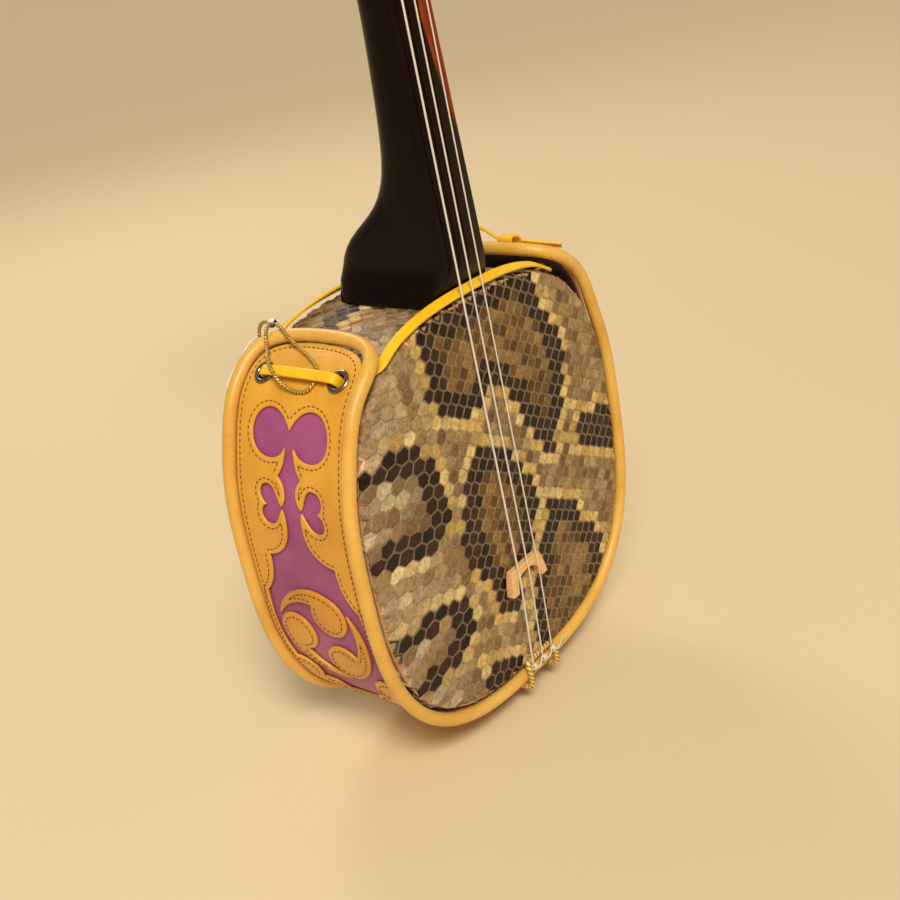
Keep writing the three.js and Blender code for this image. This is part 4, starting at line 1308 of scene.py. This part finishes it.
def makeNeck():
    levels = neckLevels()
    heights = []
    for a, b in zip(levels, levels[1:]):
        count = max(2, min(14, round((b[0] - a[0]) / 3)))
        heights += [lerp(a[0], b[0], i / count) for i in range(count)]
    heights.append(levels[-1][0])
    sides = neckRing(1, 0, 1, 2, 0)[1]

    def place(u, v):
        z = heights[round(v * (len(heights) - 1))]
        halfWidth, setBack, thickness, square = levelAt(levels, z)
        front = fingerboardY(z) + setBack
        (x, y), _ = neckRing(halfWidth, front, front + thickness, square, u)
        return Vector((x, y, z)) * mm

    piece = formed("neck_lacquered", sides, len(heights) - 1, place)
    low = neck["slotStart"] + nutHeight
    slot = (neck["slotWidth"], drum["back"] * 2, neck["slotLength"])
    cutWith(piece, softBlock("slot", slot, low + neck["slotLength"] / 2, 2, 4))
    for index in range(3):
        cutPegHole(piece, index)
    smooth(piece, 32)
    paint(piece, lacquer)
    core = makeCore()
    paint(core, lacquer)
    settle(piece, "root", "lacquer", "neck")
    settle(core, "root", "lacquer")


def cutWith(piece, cutter):
    applyModifier(piece, "BOOLEAN", operation="DIFFERENCE", solver="EXACT", object=cutter)
    bpy.data.objects.remove(cutter)


# The part of the neck that goes through the drum and comes out as the tail stub.
def makeCore():
    tall = neck["drumTop"] + 1
    core = softBlock("neck_core", (neck["coreWidth"], neck["coreDepth"], tall), tall / 2, 1.2, 3)
    smooth(core, 40)
    return core


def pegPlace(index):
    z = nutHeight + neck["firstPeg"] + index * neck["pegSpacing"]
    sloping = (z - nutHeight - neck["headStraight"]) * neck["headSlope"]
    return Vector((0, fingerboardY(z) + neck["headSetBack"] + sloping + neck["pegDepth"], z))


def pegSide(index):
    return 1 if index == 1 else -1


peg = {"thick": 5.2, "thin": 4, "start": 18, "end": -16.5, "flutes": 8, "handle": 17.5}


def cutPegHole(piece, index):
    low = peg["end"] - 1
    high = peg["start"] + 1
    profile = [(0, low), (peg["thin"] + 0.1, low), (peg["thick"] + 0.1, high), (0, high)]
    cutWith(piece, turned("hole", profile, pegPlace(index), (pegSide(index), 0, 0), 40))


# A peg's taper and its fluted handle, which flares to a rounded end.
def makePeg(index):
    start = peg["handle"]
    profile = [(0, peg["end"]), (peg["thin"] - 0.5, peg["end"]), (peg["thin"], peg["end"] + 0.5),
               (4.6, 2), (4.95, start - 0.5), (5, start)]
    handle = [(6, 1.5), (6.6, 4), (6.8, 8), (7.2, 14), (8, 22), (9.1, 31), (10.4, 40), (11.6, 48),
              (12.6, 54), (12.9, 58), (12.6, 60.5), (11.4, 62.6), (8, 63.4), (5, 63.5), (0, 63.5)]
    profile += [(radius, start + along) for radius, along in handle]
    turn = Vector((0, 0, 1)).rotation_difference(Vector((pegSide(index), 0, 0)))
    origin = pegPlace(index)

    def place(u, v):
        radius, along = profile[round(v * (len(profile) - 1))]
        depth = 0.14 * smoothstep(along, start + 1, start + 30)
        depth *= 1 - smoothstep(along, start + 59, start + 63)
        angle = u * fullTurn
        radius *= 1 - depth * (0.5 - 0.5 * math.cos(angle * peg["flutes"]))
        point = Vector((radius * math.cos(angle), radius * math.sin(angle), along))
        point.rotate(turn)
        return (point + origin) * mm

    piece = formed(f"peg_{index + 1}_turned", 64, len(profile) - 1, place, angle=40)
    paint(piece, lacquer)
    settle(piece, f"peg_{index + 1}", "lacquer", f"peg_{index + 1}")


strings = {"radii": (0.5, 0.42, 0.36), "nutSpacing": 7.25, "bridgeSpacing": 7.8, "tailSpacing": 8.5}


def makeWinding(index):
    radius = strings["radii"][index]
    origin = pegPlace(index)
    line = []
    turns = 5
    for i in range(turns * 24 + 1):
        angle = fullTurn * i / 24
        x = lerp(-2.2, 2.2, i / (turns * 24))
        out = 5.1 + radius
        line.append((origin + Vector((x, out * math.cos(angle), out * math.sin(angle)))) * mm)
    piece = tube(f"string_winding_{index + 1}_coil", line, radius * mm, 8)
    paint(piece, nylon)
    settle(piece, f"peg_{index + 1}", "nylon", f"string_winding_{index + 1}")


makeNeck()
for index in range(3):
    makePeg(index)
    makeWinding(index)
print("neck and pegs")


# Bridge and strings

bridge = {"height": 12.5, "foot": 4.8, "crown": 3.6, "feet": 65.5, "back": drum["front"] - 0.3}


# The bridge lies on its back on the skin, its feet towards the tail and its crown up the neck.
def makeBridge():
    outline = walk([(-14.2, 0), (-13.4, 8, -11.2, 12.5), (11.2, 12.5), (13.4, 8, 14.2, 0), (9.6, 0),
                    (9.2, 5, 7.2, 8.6, 0, 8.8), (-7.2, 8.6, -9.2, 5, -9.6, 0)], 14)
    piece = flatPattern("bridge_bamboo", [outline], 1, 0.35, 2)
    for vertex in piece.data.vertices:
        up = vertex.co.y
        thickness = lerp(bridge["foot"], bridge["crown"], up / bridge["height"])
        # the rounded edges keep their size while the flat part takes the thickness
        depth = (vertex.co.z + 0.5) if vertex.co.z < 0 else thickness - (0.5 - vertex.co.z)
        vertex.co = Vector((vertex.co.x, bridge["back"] - depth, bridge["feet"] + up)) * mm
    weld(piece, 0.00001)
    smooth(piece, 30)
    paint(piece, bamboo)
    settle(piece, "bridge", "bamboo", "bridge")


makeBridge()

hanger = {"radius": 1.5, "z": 24.5, "y": drum["front"] - 2}


def stringRoute(index):
    side = index - 1
    gap = strings["radii"][index] + 0.3
    crown = bridge["feet"] + bridge["height"]
    over = bridge["back"] - bridge["crown"] - gap
    overNut = fingerboardY(nutHeight) - 0.35 - 2.4 - gap
    entry = nutHeight + neck["slotStart"] + 4
    origin = pegPlace(index)
    return [
        Vector((side * strings["tailSpacing"], hanger["y"] - hanger["radius"] - gap, hanger["z"])),
        Vector((side * strings["bridgeSpacing"], over - 0.5, crown - 5)),
        Vector((side * strings["bridgeSpacing"], over, crown)),
        Vector((side * strings["nutSpacing"], overNut, nutHeight - 1)),
        Vector((side * strings["nutSpacing"], overNut, nutHeight + 1.5)),
        Vector((side * 3.6, fingerboardY(entry) + 0.6 - gap, entry)),
        Vector((side * 2.2, origin.y - 6.2 - gap, origin.z - 1)),
    ]


def stringLine(*points):
    return evenly([point * mm for point in points], 2.5 * mm)


# A string has three stretches.
def makeString(index):
    tail, low, crown, nutLow, nutHigh, entry, end = stringRoute(index)
    radius = strings["radii"][index]

    # the second stretch starts thin inside the first and comes out of it at full thickness
    def tapered(turn, along):
        return radius * mm * lerp(0.88, 1, smoothstep(along, 0.014, 0.0185))

    hidden = tail.lerp(low, 0.78)
    first = tube(f"string_{index + 1}_tail", stringLine(tail, low, crown), radius * mm, 10)
    second = tube(f"string_{index + 1}_neck", stringLine(hidden, low, crown, nutLow), tapered, 10)
    third = tube(f"string_{index + 1}_head", stringLine(nutLow, nutHigh, entry, end), radius * mm, 10)
    for piece in (first, second, third):
        paint(piece, nylon)
        settle(piece, "root", "nylon")
    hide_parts(f"string_{index + 1}")
    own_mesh(first)
    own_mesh(second)


for index in range(3):
    makeString(index)


# The string's end is knotted on the hanger: three tight turns, and a short tail that sticks out.
def makeStringKnot(index):
    tail = stringRoute(index)[0]
    side = index - 1
    centre = tail + Vector((0, -0.7, -2.1))
    line = []
    for i in range(3 * 20 + 1):
        angle = fullTurn * i / 20
        line.append(centre + Vector((lerp(-1.1, 1.1, i / 60), math.cos(angle), 1.5 * math.sin(angle))))
    loose = [(1.9, -0.9, -1.0), (4.2, -1.0, -0.4), (6.6 + side, -0.4, 0.8), (9.4 + side * 2, -0.2, 1.4)]
    line += [centre + Vector(point) for point in loose]
    line = smoothLine([point * mm for point in line], 0.45 * mm)
    piece = tube(f"string_knot_{index + 1}_turns", line, 0.42 * mm, 8)
    paint(piece, nylon)
    settle(piece, "root", "nylon", f"string_knot_{index + 1}")


for index in range(3):
    makeStringKnot(index)


def makeHanger():
    radius = hanger["radius"]
    side = neck["coreWidth"] / 2 + radius + 0.3
    behind = neck["coreDepth"] / 2 + radius + 0.3
    under = drum["centre"] - drum["halfHeight"] - wrap["rollOffset"] - wrap["rollRadius"] - radius - 0.6
    ahead = -(wrap["width"] / 2 + wrap["rollMargin"] + wrap["rollRadius"] + radius + 0.6)
    leg = [(0.6, behind, under - 4), (side - 0.7, behind, under - 4), (side, behind - 0.7, under - 4),
           (side, 0, under - 3), (side, -12, under - 2), (side + 0.4, ahead + 6, under),
           (side + 0.4, ahead + 1.4, under + 0.8), (side + 0.3, ahead, under + 3.2),
           (side + 0.2, ahead, hanger["z"] - 4.4), (side - 0.6, hanger["y"] - 0.5, hanger["z"] - 1),
           (side - 3, hanger["y"], hanger["z"])]
    points = [(-x, y, z) for x, y, z in leg] + leg[::-1]
    line = smoothLine([Vector(point) * mm for point in points], 0.6 * mm)
    piece = tube("string_hanger_cord", line, twisted(radius * mm, 6 * mm, 3, 0.22), 18, 70)
    paint(piece, hangerCord)
    settle(piece, "root", "hanger_cord", "string_hanger")


makeHanger()
print("strings")


# Tag, and the pieces that keep their CAD shape

tag = {
    "length": 34,
    "width": 24,
    "thickness": 0.6,
    "corner": 9,
    "pastEyelets": 5,
    "depth": 43.7,
    "above": 4.5,      # how far its outer edge stands off the drum
}


def makeTag():
    reach = wrap["eyeletReach"] + tag["pastEyelets"]
    middle = drumPoint(reach, tag["depth"], tag["above"] - tag["width"] / 2)
    along = alongWrap(reach) * tag["length"]
    through = Vector((0, tag["thickness"], 0))
    outward = outwards(reach) * tag["width"]
    deselectAll()
    bpy.ops.mesh.primitive_cube_add(size=1)
    piece = bpy.context.object
    piece.name = "tag_card"
    for vertex in piece.data.vertices:
        x, y, z = vertex.co
        vertex.co = middle + (along * x + through * y + outward * z) * mm
    bpy.ops.object.mode_set(mode="EDIT")
    bpy.ops.mesh.select_mode(type="EDGE")
    bpy.ops.mesh.select_all(action="DESELECT")
    bpy.ops.object.mode_set(mode="OBJECT")
    for edge in piece.data.edges:
        a, b = (piece.data.vertices[i].co for i in edge.vertices)
        edge.select = abs(a.y - b.y) > 0.1 * mm
    bpy.ops.object.mode_set(mode="EDIT")
    bpy.ops.mesh.bevel(offset=tag["corner"] * mm, segments=14)
    bpy.ops.object.mode_set(mode="OBJECT")
    faceOutwards(piece)
    smooth(piece, 30)
    paint(piece, card)
    settle(piece, "root", "card", "tag")


makeTag()

for name, node in cadNodes.items():
    if name.startswith("stave"):
        paint(node, staveWood)
    elif name == "nut":
        paint(node, bone)


# Floor and lights

room = {
    "floor": "#DCC8A4",
    "walls": "#F0E2C4",
    "glow": 0.38,
    "sun": 1.9,
    "sunShade": "#FFF8EE",
    "sunSpread": 14,      # degrees
    "lampShade": "#FFF6E8",
}


def addFloor():
    deselectAll()
    bpy.ops.mesh.primitive_plane_add(size=200, location=(0, 0, -0.0005))
    floor = bpy.context.object
    floor.name = "floor"
    paint(floor, newMaterial("plain floor", Roughness=0.9, Base_Color=colour(room["floor"]))[0])


def addLight(name, place, aimHeight, size, power):
    light = linked(name, bpy.data.lights.new(name, "AREA"))
    light.data.size = size
    light.data.energy = power
    light.data.color = colour(room["lampShade"])[:3]
    light.location = place
    light.rotation_mode = "QUATERNION"
    light.rotation_quaternion = (Vector((0, 0, aimHeight)) - Vector(place)).to_track_quat("-Z", "Y")


def addSun():
    sun = linked("sun", bpy.data.lights.new("sun", "SUN"))
    sun.data.energy = room["sun"]
    sun.data.angle = math.radians(room["sunSpread"])
    sun.data.color = colour(room["sunShade"])[:3]
    sun.rotation_euler = (math.radians(42), 0, math.radians(-35))


addFloor()
addSun()
addLight("key", (-1.1, -0.9, 1.5), 0.15, 0.5, 15)
addLight("rim", (0.7, 1.3, 1.3), 0.2, 0.6, 8)
world = bpy.data.worlds.new("room")
world.use_nodes = True
background = world.node_tree.nodes["Background"]
background.inputs["Color"].default_value = colour(room["walls"])
background.inputs["Strength"].default_value = room["glow"]
bpy.context.scene.view_settings.view_transform = "Standard"
bpy.context.scene.world = world

print("tag, floor and lights")
